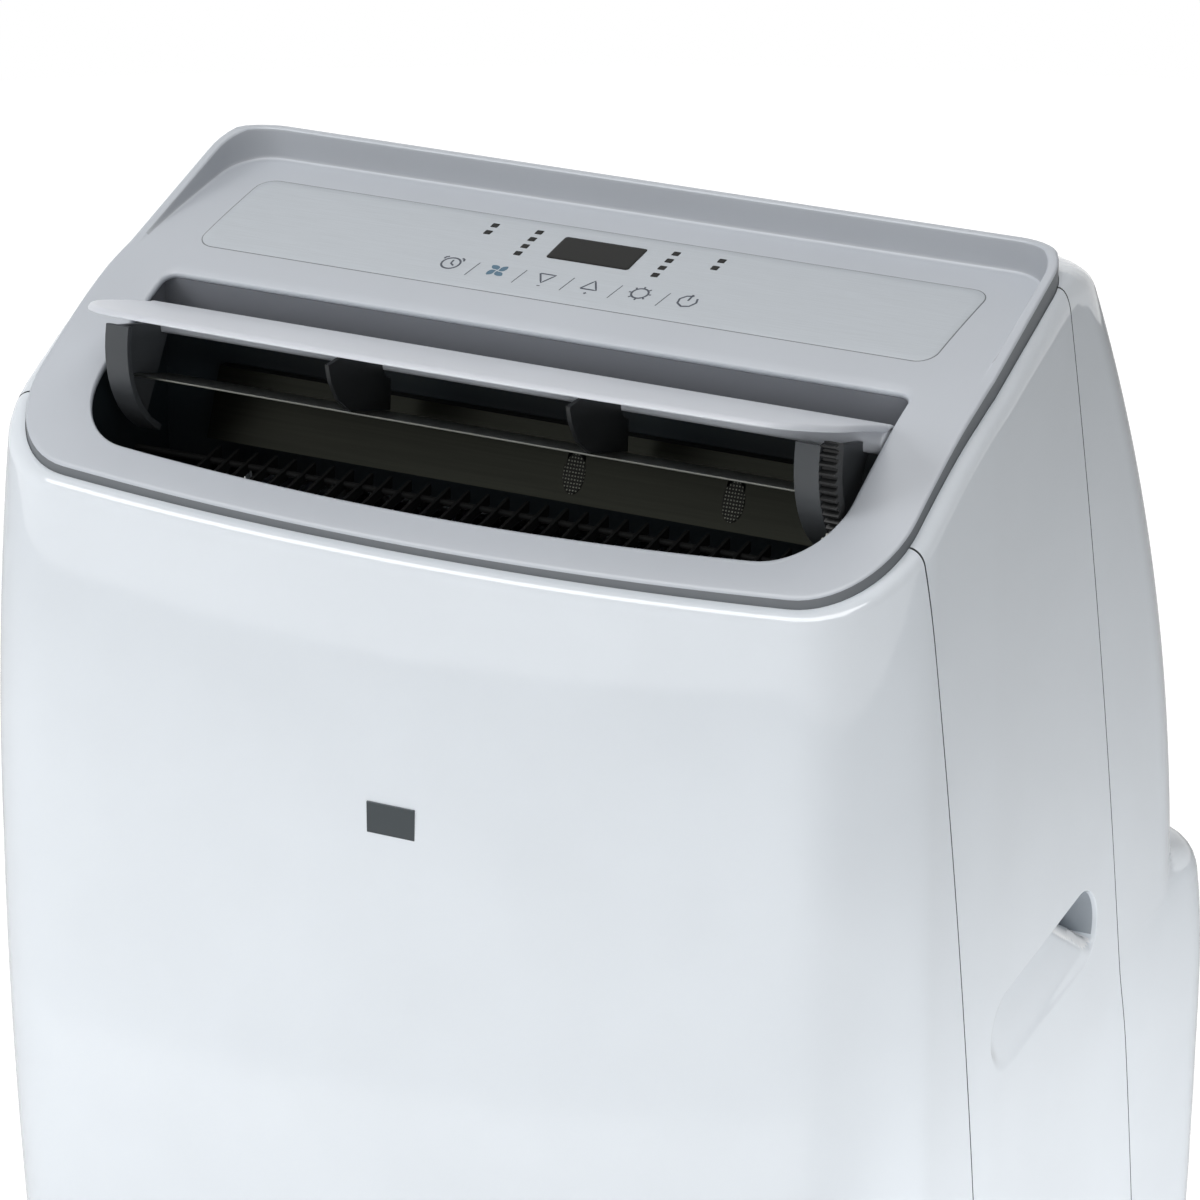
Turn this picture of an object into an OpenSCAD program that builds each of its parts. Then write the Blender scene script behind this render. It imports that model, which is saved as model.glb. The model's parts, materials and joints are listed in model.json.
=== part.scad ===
// Portable air conditioner on casters, front towards -Y, right side towards +X.
// The origin is on the floor, under the middle of the cabinet.

/* [Cabinet] */
// Overall width across the widest part of the sides
body_w = 467; // [440:1:500]
// Overall depth from the front bow to the lower rear housing
body_d = 397; // [385:1:415]
// Overall height from the floor to the top of the rim
body_h = 765; // [745:1:790]
// Thickness of the moulded panels
wall = 3; // [2:0.5:4]
// Gap between two neighbouring panels
seam_gap = 0.8; // [0.5:0.1:1.5]
// Height of the underside of the base pan above the floor
base_z = 62; // [58:1:70]
// Height of the base pan's outer wall
base_wall_h = 44; // [40:1:50]
// Radius of the front vertical corners
front_corner_r = 48; // [36:1:56]
// Radius of the rear vertical corners
rear_corner_r = 50; // [40:1:60]
// How far the lower rear bulge stands behind the upper rear cover
bulge_step = 20; // [14:1:26]
// Height of the lower rear bulge above the base pan
bulge_h = 377; // [360:1:390]

/* [Deck] */
// Width of the white band left around the deck
deck_inset = 6.5; // [5:0.5:9]
// How far the deck's edge stands above the panels
deck_edge = 4; // [3:0.5:6]
// Height of the rim's top above the middle of the deck's bend
rim_rise = 41; // [36:1:46]
// Width of the rim's top
rim_w = 5; // [4:0.5:7]
// Distance of the rim's back face behind the front of the cabinet
rim_back = 232; // [226:1:238]

/* [Outlet] */
// Width of the outlet opening
outlet_w = 376; // [350:1:384]
// Distance of the outlet's front edge behind the front of the cabinet
outlet_front = 30.5; // [28:0.5:34]
// Distance of the outlet's back edge behind the front of the cabinet
outlet_back = 125; // [121:1:129]
// Radius of the outlet's front corners
outlet_corner_r = 33; // [28:1:36]
// Clearance around the flap when it is shut
flap_gap = 1.2; // [0.8:0.1:2]
// Thickness of the flap's plate
flap_t = 3.6; // [3:0.1:5]
// Angle that the flap turns through from open to shut
flap_swing = 48; // [40:1:50]
// Radius of the flap's pivot pins
pivot_r = 3; // [2.5:0.25:4]
// Running clearance of the pivot pins
pivot_gap = 0.1; // [0.05:0.01:0.1]
// Outer radius of the flap's end arms
arm_r = 50; // [46:1:52]
// Thickness of each end arm
arm_t = 12; // [9:0.5:13]

/* [Flap drive] */
// Module of the rack and its pinion
gear_module = 1.25; // [1:0.05:1.3]
// Teeth that the rack would have as a full gear
rack_teeth = 80; // [76:1:82]
// Teeth of the pinion
pinion_teeth = 12; // [10:1:14]
// Face width of the rack
rack_w = 7.5; // [6:0.5:8]
// Radius of the stepper motor
stepper_r = 12; // [10:0.5:12.5]
// Length of the stepper motor
stepper_l = 14; // [11:1:14.5]

/* [Controls] */
// Width of the control overlay
overlay_w = 373; // [350:1:374]
// Depth of the control overlay along Y
overlay_d = 62; // [56:1:64]
// Distance of the overlay's front edge behind the front of the cabinet
overlay_front = 144.5; // [142:0.5:148]
// Thickness of the overlay film
overlay_t = 0.6; // [0.4:0.1:1]
// Width of the display window
display_w = 42; // [36:1:48]
// Depth of the display window along Y
display_d = 19.5; // [16:0.5:22]
// Width of one indicator lens
lens_w = 3.6; // [3:0.1:4.5]
// Width of the badge plate on the front panel
badge_w = 24; // [20:1:30]
// Height of the badge plate
badge_h = 14.4; // [12:0.2:18]
// Height of the badge's centre above the floor
badge_z = 534; // [500:1:560]

/* [Handles] */
// Length of the handle recess
handle_l = 125; // [116:1:130]
// Height of the handle recess
handle_h = 40; // [34:1:44]
// Depth of the handle recess
handle_depth = 24; // [20:1:28]
// Depth of the handle's scoop where it meets the finger pocket
scoop_depth = 7; // [5:0.5:9]
// Height of the handle's centre above the floor
handle_z = 437; // [425:1:455]

/* [Air] */
// Radius of the exhaust collar's bore
exhaust_r = 75; // [70:0.5:78]
// Length of the exhaust collar
exhaust_l = 26; // [22:1:30]
// Radius of the evaporator blower's wheel
evap_wheel_r = 80; // [74:1:82]
// Length of the evaporator blower's wheel
evap_wheel_l = 48; // [42:1:50]
// Radius of the condenser blower's wheel
cond_wheel_r = 68; // [62:1:70]
// Length of the condenser blower's wheel
cond_wheel_l = 46; // [40:1:50]
// Blades on each wheel
blade_count = 24; // [18:1:30]
// Radius of the blower motors' shafts
shaft_r = 4; // [3:0.25:5]
// Running clearance around a turning shaft
shaft_gap = 0.08; // [0.05:0.01:0.1]
// Pitch of the finger guard's bars
guard_pitch = 10; // [8:0.5:12]

/* [Cooling] */
// Radius of the compressor's shell
compressor_r = 57; // [50:1:60]
// Height of the compressor's shell
compressor_h = 250; // [220:1:265]
// Outer radius of the refrigerant pipes
pipe_r = 4; // [3:0.25:5]
// Depth of the two coils
coil_d = 26; // [20:1:30]

/* [Casters] */
// Radius of the caster wheels
wheel_r = 20; // [18:0.5:21]
// Width of one caster wheel
wheel_w = 14; // [12:0.5:16]
// Trail of the caster's axle behind its stem
caster_trail = 12; // [8:1:14]
// Radius of the caster's stem
stem_r = 5; // [4:0.5:6]

/* [Hidden] */

$fn = 64;
touch = 0.3;                            // seat clearance between two separate pieces
cut = 1;                                // how far a cut runs past the face it opens

// Cabinet outline
front_y = -body_d / 2;
rear_y = body_d / 2;
side_r = 5800;                          // radius of the sides' slow bulge
widest_z = 0.562 * body_h;
front_upper_r = 1509;                   // radius of the front's bow above its foremost line
front_lower_r = 3000;
foremost_z = 0.62 * body_h;
rear_slope_r = 593;
rear_slope_z = 400;
bow_r = 1700;                           // radius of the front's bow in plan, low down
top_bow_r = 2400;                       // the same, where the front meets the deck
crown_r = 30;                           // radius of the soft edge around the rim's rear corners
crown_z = body_h - 25;
taper = 0.045;                          // how fast the sides draw in towards the rear
taper_y = front_y + 123.5;
deck_z0 = body_h - rim_rise;

// Distances behind the front of the cabinet become Y
function behind(d) = front_y + d;

// Half width, front and rear of the cabinet at height z
function crown(z) = z > crown_z ? pow(z - crown_z, 2) / (2 * crown_r) : 0;
function bow_at(z) = z < foremost_z ? bow_r
    : bow_r + (top_bow_r - bow_r) * min(1, (z - foremost_z) / (deck_z0 - 74 - foremost_z));
function half_w(z) = body_w / 2 - pow(z - widest_z, 2) / (2 * side_r);
function front_at(z) = front_y
    + pow(z - foremost_z, 2) / (2 * (z > foremost_z ? front_upper_r : front_lower_r));
function rear_at(z) = rear_y - bulge_step
    - (z > rear_slope_z ? pow(z - rear_slope_z, 2) / (2 * rear_slope_r) : 0);

// Points along an arc, and a range of evenly spaced numbers
function arc(cx, cy, r, a0, a1, n) =
    [for (i = [0:n]) let (a = a0 + (a1 - a0) * i / n) [cx + r * cos(a), cy + r * sin(a)]];
function span(a, b, n) = [for (i = [0:n]) a + (b - a) * i / n];
function mirrored(p) = [for (i = [len(p) - 1:-1:0]) [-p[i][0], p[i][1]]];

// Half of a plan outline: bowed front, round corners, sides that draw in, inset by t
function half_outline(hw, yf, yb, bow, rf, rr, draw, t) =
    let (
        cx = hw - rf,
        cy = yf + bow - sqrt(pow(bow - rf, 2) - cx * cx),
        a = atan2(cy - yf - bow, cx),
        hr = hw - draw * max(0, yb - rr - taper_y)
    )
    concat(
        arc(0, yf + bow, bow - t, -90, a, 3),
        arc(cx, cy, rf - t, a + (0 - a) / 7, 0, 6),
        draw > 0 ? [[hw - t, taper_y]] : [],
        arc(hr - rr, yb - rr, rr - t, 0, 90, 5)
    );
function outline(hw, yf, yb, bow, rf, rr, draw = 0, t = 0) =
    let (p = half_outline(hw, yf, yb, bow, rf, rr, draw, t))
    concat(mirrored(p), [for (i = [1:len(p) - 1]) p[i]]);

// Height of the deck's surface: two slopes joined by a smooth bend
deck_slope_mid = 0.456;
deck_slope_half = 0.268;
deck_bend_y = behind(118);
deck_bend_w = 44.2;
function deck_z(y) = deck_z0 + 8.2 + deck_slope_mid * (y - deck_bend_y)
    - deck_slope_half * sqrt(pow(y - deck_bend_y, 2) + deck_bend_w * deck_bend_w);

// Height of the rim: the front slope carried on in a straight line
rim_start_y = behind(129);
rim_slope = 0.447;
function rim_z(y) = y < rim_start_y ? deck_z(y)
    : min(body_h, max(deck_z(y), deck_z0 + rim_slope * (y - rim_start_y)));

// Panel seams: straight lines on the sides
function front_seam(z) = behind(55.6) + 0.16 * (deck_z0 - 38 - z);
function rear_seam(z) = behind(211.5) + 0.19 * (deck_z0 + 22 - z);

// Main places
deck_front_y = behind(17);
deck_back_y = behind(rim_back);
deck_hw = half_w(deck_z0) - deck_inset;
duct_floor_z = deck_z0 - 84;
pivot_y = behind(106);
pivot_z = deck_z0 - 18;
duct_hw = outlet_w / 2 + 2;
duct_t = 2.5;
arm_out_x = outlet_w / 2 - 10;
tray_z = 416;
tray_t = 8;
tray_floor = 3;

module across(x0, x1, pts) {
    translate([x0, 0, 0]) rotate([90, 0, 90]) linear_extrude(x1 - x0) polygon(pts);
}

module upright(z0, z1, pts) {
    translate([0, 0, z0]) linear_extrude(z1 - z0) polygon(pts);
}

module along_y(y0, y1) {
    translate([0, y1, 0]) rotate([90, 0, 0]) linear_extrude(y1 - y0) children();
}

module block(x0, x1, y0, y1, z0, z1) {
    translate([x0, y0, z0]) cube([x1 - x0, y1 - y0, z1 - z0]);
}

module rod_x(x0, x1, y, z, r) {
    translate([x0, y, z]) rotate([0, 90, 0]) cylinder(r = r, h = x1 - x0);
}

module rod_y(y0, y1, x, z, r) {
    translate([x, y1, z]) rotate([90, 0, 0]) cylinder(r = r, h = y1 - y0);
}

// ---------------------------------------------------------------- cabinet shells

module cabinet_form(t, z0) {
    hull() for (z = concat(span(z0, deck_z0 - 66, 6), [deck_z0 - 24, crown_z], span(crown_z + 8, body_h, 2)))
        upright(z, z + 0.02, outline(half_w(z) - crown(z), front_at(z), rear_at(z) - crown(z),
            bow_at(z), front_corner_r, rear_corner_r, taper, t));
}

shoulder_r = 60;
skirt_z = base_z + 14;
edge_growth = 6;                        // how much more of the deck's edge shows at the back

// How far the panels' top line lies below the deck's edge and the rim
function lip_drop(y) = deck_edge
    + edge_growth * pow(max(0, (y - deck_front_y) / (deck_back_y - deck_front_y)), 0.6);

// Everything under the panels' top line, lowered by drop
module under_top(drop) {
    ys = span(deck_front_y - 30, deck_back_y, 22);
    top = body_h - lip_drop(deck_back_y) + 2;
    shoulder = arc(deck_back_y, top - shoulder_r, shoulder_r - drop, 76, 26, 6);
    last = shoulder[6];
    across(-body_w, body_w, concat(
        [[-body_d, 0], [-body_d, deck_z(ys[0]) - lip_drop(ys[0]) - drop]],
        [for (y = ys) [y, rim_z(y) - lip_drop(y) - drop]],
        shoulder,
        [[last[0] + 150, last[1] - 150 * 2.05], [body_d, 0]]
    ));
}

// The lower rear bulge: it comes out of the sides along a slanted crease
bulge_top_z = base_z + bulge_h;
bulge_round = 20;                       // radius of the bulge's upper rear edge
bulge_front_y = behind(148);
bulge_corner_r = 34;
bulge_in = 5.6;                         // how far its sides lie inside the cabinet's widest line
bulge_flare_h = 75;                     // height below the top in which the sides flare out

function bulge_outline(z, back, t) =
    let (f = max(0, 1 - (bulge_top_z - z) / bulge_flare_h))
    outline(half_w(z) - bulge_in - 6 * f * f - 6 * pow(f, 12), bulge_front_y, rear_y - back, 9000, 20,
        bulge_corner_r, 0, t);

module bulge_form(t) {
    hull() {
        for (z = concat([skirt_z - (t > 0 ? cut : 0)], span(240, bulge_top_z - bulge_round, 5)))
            upright(z, z + 0.02, bulge_outline(z, 0, t));
        for (a = [30, 60, 90]) let (z = bulge_top_z - bulge_round * (1 - sin(a)))
            upright(z - t, z - t + 0.02, bulge_outline(z, bulge_step * (1 - cos(a)), t));
    }
}

deck_outline_gap = 0.3;

function deck_outline(t) = outline(deck_hw, deck_front_y, deck_back_y, 2400,
    front_corner_r - 6, 28, taper, t);

// The outer moulding before it is parted along its seams
module shell() {
    difference() {
        union() {
            intersection() {
                cabinet_form(0, skirt_z);
                under_top(0);
            }
            bulge_form(0);
        }
        intersection() {
            cabinet_form(wall, skirt_z - cut);
            under_top(wall);
        }
        bulge_form(wall);
        upright(duct_floor_z - 60, body_h + cut, deck_outline(-deck_outline_gap));
    }
}

module front_panel() {
    color("white") difference() {
        intersection() {
            shell();
            across(-body_w, body_w, [
                [-body_d, 0], [front_seam(0) - seam_gap / 2, 0],
                [front_seam(body_h) - seam_gap / 2, body_h], [-body_d, body_h]
            ]);
        }
        block(-badge_w / 2 - 0.2, badge_w / 2 + 0.2, front_y - 20, front_at(badge_z) + 1.4,
            badge_z - badge_h / 2 - 0.2, badge_z + badge_h / 2 + 0.2);
    }
}

handle_tilt = 9;
handle_y = behind(183.5);
pocket_tilt = -33;                      // direction of the pocket's lower edge

// Slot with round ends, in the handle's own frame: +Y along it, towards the rear
module handle_slot(x0, x1, grow) {
    r = handle_h / 2 + grow;
    reach = handle_l / 2 - handle_h / 2;
    rod_x(x0, x1, -reach, 0, r);
    rod_x(x0, x1, reach, 0, r);
    block(x0, x1, -reach, reach, -r, r);
}

module at_handle() {
    translate([0, handle_y, handle_z]) rotate([handle_tilt, 0, 0]) children();
}

// The part of the slot behind the slanted edge, which is the finger pocket
module pocket(x0, x1, grow) {
    intersection() {
        handle_slot(x0, x1, grow);
        translate([0, 10, 0]) rotate([pocket_tilt - handle_tilt, 0, 0])
            block(x0, x1, -handle_l, handle_l, -grow, handle_l);
    }
}

// Shallow scoop that deepens towards the pocket
module scoop(face, grow) {
    intersection() {
        handle_slot(face - handle_depth - grow, face + cut, grow);
        upright(-handle_l, handle_l, [
            [face + cut, -handle_l / 2 - grow - cut], [face - 1 - grow, -handle_l / 2 - grow],
            [face - scoop_depth - 1 - grow, handle_l / 2], [face + cut, handle_l / 2 + grow + cut]
        ]);
    }
}

module side_panel() {
    face = body_w / 2;
    difference() {
        union() {
            intersection() {
                shell();
                across(0, body_w, [
                    [front_seam(0) + seam_gap / 2, 0], [rear_seam(0) - seam_gap / 2, 0],
                    [rear_seam(body_h) - seam_gap / 2, body_h],
                    [front_seam(body_h) + seam_gap / 2, body_h]
                ]);
            }
            intersection() {
                at_handle() {
                    pocket(face - handle_depth - wall, face, wall);
                    scoop(face, wall);
                }
                cabinet_form(wall / 2, handle_z - handle_l);
            }
        }
        at_handle() {
            pocket(face - handle_depth, face + cut, 0);
            scoop(face, 0);
        }
    }
}

module right_side_panel() {
    color("gainsboro") side_panel();
}

module left_side_panel() {
    color("gainsboro") mirror([1, 0, 0]) side_panel();
}

// Intake windows in the rear
intake_w = 300;
upper_intake_z0 = 470;
upper_intake_z1 = 650;
lower_intake_z0 = base_z + 52;
lower_intake_z1 = base_z + 178;
exhaust_x = -80;
exhaust_z = base_z + 270;

module rear_cover() {
    color("silver") difference() {
        intersection() {
            shell();
            across(-body_w, body_w, [
                [rear_seam(0) + seam_gap / 2, 0], [body_d, 0], [body_d, body_h],
                [rear_seam(body_h) + seam_gap / 2, body_h]
            ]);
        }
        block(-intake_w / 2, intake_w / 2, 0, body_d, upper_intake_z0, upper_intake_z1);
        block(-intake_w / 2, intake_w / 2, rear_y - 12, body_d, lower_intake_z0, lower_intake_z1);
        rod_y(rear_y - 12, rear_y + cut, exhaust_x, exhaust_z, exhaust_r + wall + 0.2);
        rod_y(rear_y - 12, rear_y + cut, cord_x, cord_z, cord_bush_r + 0.1);
        for (z = drain_zs) rod_y(rear_y - 12, rear_y + cut, drain_x, z, drain_r + 2.1);
        for (p = screw_places) {
            rod_y(rear_y - 12, rear_y + cut, p[0], p[1], screw_r + 0.15);
            rod_y(rear_y - screw_head_t - 0.1, rear_y + cut, p[0], p[1], screw_head_r + 0.3);
        }
    }
}

// ---------------------------------------------------------------- base and frame

pan_t = 3;
caster_places = [
    [-165, behind(58)], [165, behind(58)], [-165, rear_y - 62], [165, rear_y - 62]
];

// Floor plan of the pan: the cabinet's own, with the room inside the rear bulge
module pan_plan(t) {
    polygon(outline(half_w(skirt_z), front_at(skirt_z), rear_at(skirt_z), bow_r,
        front_corner_r, rear_corner_r, taper, wall + t));
    polygon(bulge_outline(skirt_z, 0, wall + t));
}

module base_pan() {
    color("dimgray") difference() {
        union() {
            difference() {
                translate([0, 0, base_z]) linear_extrude(base_wall_h) pan_plan(touch);
                translate([0, 0, base_z + pan_t]) linear_extrude(base_wall_h) pan_plan(touch + pan_t);
            }
            for (p = caster_places) translate([p[0], p[1], base_z])
                cylinder(r = stem_r + 6, h = 20);
            for (a = foot_angles) translate([compressor_x, compressor_y, base_z])
                rotate(a) translate([foot_reach, 0, 0]) cylinder(r = 9, h = foot_base);
        }
        for (p = caster_places) translate([p[0], p[1], base_z - cut])
            cylinder(r = stem_r + shaft_gap, h = 16 + cut);
        for (a = foot_angles) translate([compressor_x, compressor_y, base_z + 2])
            rotate(a) translate([foot_reach, 0, 0]) cylinder(r = bolt_r + 0.1, h = 40);
        rod_y(rear_y - 40, rear_y, drain_x, drain_zs[0], drain_flange_r + touch);
    }
}

frame_x = 172;
frame_y = behind(262);
frame_front_y = behind(72);
frame_w = 18;
frame_t = 1.5;
screw_x = 168;

// Two folded steel uprights with cross rails, standing in the base pan
module chassis_frame() {
    color("lightgray") for (s = [0, 1]) mirror([s, 0, 0]) {
        block(frame_x, frame_x + frame_t, frame_y, frame_y + frame_w, base_z + pan_t, duct_floor_z);
        block(frame_x, frame_x + frame_w, frame_y, frame_y + frame_t, base_z + pan_t, duct_floor_z);
        block(frame_x, frame_x + frame_t, frame_front_y, frame_front_y + 14, base_z + pan_t, tray_z);
        block(frame_x, frame_x + frame_t, frame_front_y, frame_y + cut, tray_z - 16, tray_z);
        // arms that reach back to the rear cover's screws
        for (z = screw_zs) {
            block(frame_x, frame_x + frame_t, frame_y, rear_y - wall - touch, z - 10, z + 10);
            difference() {
                block(screw_x - 8, frame_x + frame_t, rear_y - wall - touch - frame_t,
                    rear_y - wall - touch, z - 10, z + 10);
                rod_y(rear_y - 12, rear_y, screw_x, z, screw_r + 0.05);
            }
        }
    }
}

screw_r = 2;
screw_head_r = 3.8;
screw_head_t = 1.6;
screw_l = 12;
screw_zs = [base_z + 68, base_z + 338];
screw_places = [for (x = [-screw_x, screw_x], z = screw_zs) [x, z]];

// Flat-head screws that hold the rear cover to the frame
module panel_screws() {
    color("gray") for (p = screw_places) {
        rod_y(rear_y - screw_l, rear_y - screw_head_t, p[0], p[1], screw_r);
        difference() {
            rod_y(rear_y - screw_head_t, rear_y, p[0], p[1], screw_head_r);
            block(p[0] - 2.5, p[0] + 2.5, rear_y - 0.8, rear_y + cut, p[1] - 0.4, p[1] + 0.4);
            block(p[0] - 0.4, p[0] + 0.4, rear_y - 0.8, rear_y + cut, p[1] - 2.5, p[1] + 2.5);
        }
    }
}

// ---------------------------------------------------------------- deck and controls

deck_skin = 3;

module deck_band(x0, x1, top, bottom, y0, y1) {
    ys = span(y0, y1, 26);
    across(x0, x1, concat(
        [for (y = ys) [y, deck_z(y) + top]],
        [for (i = [len(ys) - 1:-1:0]) [ys[i], deck_z(ys[i]) + bottom]]
    ));
}

function outlet_outline(t) = outline(outlet_w / 2, behind(outlet_front), behind(outlet_back),
    2050, outlet_corner_r, 6, 0, t);

overlay_corner_r = 9;

module overlay_area(t) {
    r = overlay_corner_r;
    translate([0, behind(overlay_front) + overlay_d / 2, 0]) linear_extrude(body_h + cut)
        union() {
            square([overlay_w - 2 * r, overlay_d + 2 * t], center = true);
            square([overlay_w + 2 * t, overlay_d - 2 * r], center = true);
            for (x = [-1, 1], y = [-1, 1])
                translate([x * (overlay_w / 2 - r), y * (overlay_d / 2 - r)]) circle(r = r + t);
        }
}

display_y = behind(overlay_front) + 42.5;
lens_d = 3.6;
lens_ys = [for (i = [0:3]) display_y - 9.9 + i * 6.6];
lens_places = concat(
    [for (i = [2:3]) [-58, lens_ys[i]]], [for (i = [0:3]) [-35, lens_ys[i]]],
    [for (i = [0:3]) [35, lens_ys[i]]], [for (i = [2:3]) [58, lens_ys[i]]]
);

module display_area(t) {
    block(-display_w / 2 - t, display_w / 2 + t, display_y - display_d / 2 - t,
        display_y + display_d / 2 + t, 0, body_h + cut);
}

module lens_areas(t) {
    for (p = lens_places)
        block(p[0] - lens_w / 2 - t, p[0] + lens_w / 2 + t, p[1] - lens_d / 2 - t,
            p[1] + lens_d / 2 + t, 0, body_h + cut);
}

module top_deck() {
    ys = span(rim_start_y - 4, deck_back_y + 2, 14);
    color("lightsteelblue") difference() {
        union() {
            intersection() {
                upright(duct_floor_z, body_h + cut, deck_outline(0));
                deck_band(-body_w, body_w, 0, -deck_skin, deck_front_y - 15, deck_back_y + 2);
            }
            // skirt around the edge, carried up as the rim towards the back
            intersection() {
                difference() {
                    upright(duct_floor_z, body_h + cut, deck_outline(0));
                    upright(duct_floor_z - cut, body_h + 2 * cut, deck_outline(rim_w));
                }
                union() {
                    deck_band(-body_w, body_w, -0.1, -deck_edge - edge_growth - wall - 1,
                        deck_front_y - 15, deck_back_y + 2);
                    across(-body_w, body_w, concat(
                        [for (y = ys) [y, rim_z(y)]],
                        [for (i = [len(ys) - 1:-1:0]) [ys[i], deck_z(ys[i]) - deck_skin]]
                    ));
                }
            }
        }
        upright(duct_floor_z, body_h + cut, outlet_outline(0));
        intersection() {
            overlay_area(0.05);
            deck_band(-overlay_w, overlay_w, 5, -overlay_t, behind(overlay_front) - 5,
                behind(overlay_front) + overlay_d + 5);
        }
        display_area(0.05);
        lens_areas(0.05);
    }
}

module control_overlay() {
    color("silver") difference() {
        intersection() {
            overlay_area(0);
            deck_band(-overlay_w, overlay_w, -0.1, -overlay_t, behind(overlay_front) - 5,
                behind(overlay_front) + overlay_d + 5);
        }
        display_area(0);
        lens_areas(0);
    }
}

module display_window() {
    color("black") intersection() {
        display_area(-0.05);
        deck_band(-overlay_w, overlay_w, -0.1, -window_t, display_y - 20, display_y + 20);
    }
}

module indicator_lenses() {
    color("black") intersection() {
        lens_areas(-0.05);
        deck_band(-overlay_w, overlay_w, -0.1, -window_t, display_y - 30, display_y + 30);
    }
}

// Circuit board under the touch keys
board_drop = 8;                         // depth of the board below the deck's skin
board_t = 1.6;
window_t = deck_skin + 1;

module control_board() {
    color("darkgreen") deck_band(-90, 90, -deck_skin - board_drop, -deck_skin - board_drop - board_t,
        behind(overlay_front) + 6, behind(overlay_front) + overlay_d - 6);
}

// Digit module that stands on the board under the display window
module display_module() {
    color("black") deck_band(-display_w / 2 + 4, display_w / 2 - 4, -window_t - touch / 3,
        -deck_skin - board_drop + touch / 3, display_y - display_d / 2 + 2,
        display_y + display_d / 2 - 2);
}

module badge_plate() {
    back = front_at(badge_z) + 1.4;
    color("dimgray") block(-badge_w / 2, badge_w / 2, back - 1.8, back, badge_z - badge_h / 2,
        badge_z + badge_h / 2);
}

// ---------------------------------------------------------------- outlet and flap

function pinion_centre_r() = gear_module * (rack_teeth + pinion_teeth) / 2;
pinion_angle = 40;                      // below the horizontal, in front of the pivot
pinion_y = pivot_y - pinion_centre_r() * cos(pinion_angle);
pinion_z = pivot_z - pinion_centre_r() * sin(pinion_angle);
pinion_r = gear_module * pinion_teeth / 2;
pinion_shaft_r = 2;
duct_back_y = behind(outlet_back) + duct_t;
duct_front_y = behind(outlet_front) - 6;
knuckle_r = 8;
channel_y = pivot_y + knuckle_r + 1;

function duct_outline(t) = outline(duct_hw + duct_t, deck_front_y + rim_w + 1.5, duct_back_y,
    top_bow_r, 20, 2.6, 0, t);
duct_bottom_z = duct_floor_z - 6;

// Box around the outlet, open above to the deck's opening and below to the blower
module outlet_duct() {
    top = -deck_skin - touch;
    color("dimgray") difference() {
        union() {
            intersection() {
                union() {
                    difference() {
                        upright(duct_bottom_z, deck_z0 + 20, duct_outline(0));
                        upright(duct_bottom_z - cut, body_h, duct_outline(duct_t));
                    }
                    // channel behind the flap's rolled edge
                    block(-duct_hw - cut, duct_hw + cut, channel_y, duct_back_y - 0.1,
                        pivot_z - 8, pivot_z - 6);
                }
                deck_band(-body_w, body_w, top, -160, deck_front_y, duct_back_y + 5);
            }
            // bosses around the pivot pins and the pinion's shaft
            for (s = [-1, 1]) rod_x(s > 0 ? duct_hw : -duct_hw - 9, s > 0 ? duct_hw + 9 : -duct_hw,
                pivot_y, pivot_z, pivot_r + 1.5);
            rod_x(duct_hw, duct_hw + 4.5, pinion_y, pinion_z, pinion_shaft_r + 4);
        }
        for (s = [-1, 1]) rod_x(s > 0 ? duct_hw - cut : -duct_hw - 8, s > 0 ? duct_hw + 8 : -duct_hw + cut,
            pivot_y, pivot_z, pivot_r + pivot_gap);
        rod_x(duct_hw - cut, duct_hw + 6, pinion_y, pinion_z, pinion_shaft_r + shaft_gap);
    }
}

liner_top = [behind(119.2), deck_z0 - 41];
liner_foot = [behind(107), deck_z0 - 71];

// Sloping steel plate, hung by its top flange from the duct's back wall
module liner_plate() {
    flange_y = duct_back_y - duct_t - touch;
    color("darkslategray") difference() {
        across(-158, 158, [
            liner_foot, [liner_foot[0] + 1, liner_foot[1]], [liner_top[0] + 1, liner_top[1]],
            [flange_y, liner_top[1]], [flange_y, liner_top[1] + 1.2],
            [liner_top[0], liner_top[1] + 1.2]
        ]);
        for (x = mesh_xs) mesh_place(x) oval_hole(mesh_r);
    }
}

mesh_xs = [30, 109];
mesh_r = 4.5;
liner_tilt = atan2(liner_top[0] - liner_foot[0], liner_top[1] - liner_foot[1]);

mesh_up = 15.6;                         // from the liner's foot to the middle of a patch

module mesh_place(x) {
    translate([x, liner_foot[0] + mesh_up * sin(liner_tilt), liner_foot[1] + mesh_up * cos(liner_tilt)])
        rotate([90 - liner_tilt, 0, 0]) children();
}

// Hole with round ends, long along the plate
module oval_hole(r) {
    for (s = [-1, 1]) translate([0, s * r, 0]) cylinder(r = r, h = 8, center = true);
    cube([2 * r, 2 * r, 8], center = true);
}

// Woven wire covers over the two sensor holes
module mesh_patches() {
    color("gray") for (x = mesh_xs) mesh_place(x) {
        for (i = [-2:2]) translate([i * 1.7, 0, 0]) cube([0.5, 13.4, 0.8], center = true);
        for (i = [-4:4]) translate([0, i * 1.5, 0]) cube([7.3, 0.5, 0.8], center = true);
    }
}

guard_back = [liner_foot[0] - 1.5, liner_foot[1] - 2];
guard_front = [deck_front_y + rim_w + duct_t + 10, liner_foot[1] - 17];

// Finger guard: bars that run from front to back, tied by two cross rods
module outlet_guard() {
    count = floor(306 / guard_pitch);
    rise = (guard_back[1] - guard_front[1]) / (guard_back[0] - guard_front[0]);
    color("black") {
        for (i = [0:count]) let (x = (i - count / 2) * guard_pitch)
            across(x - 0.8, x + 0.8, [
                guard_front, guard_back, [guard_back[0], guard_back[1] - 5],
                [guard_front[0], guard_front[1] - 5]
            ]);
        for (f = [0.25, 0.88]) let (y = guard_front[0] + f * (guard_back[0] - guard_front[0]))
            rod_x(-duct_hw + touch, duct_hw - touch, y,
                guard_front[1] + rise * (y - guard_front[0]) - 2.5, 1.5);
    }
}

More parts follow.
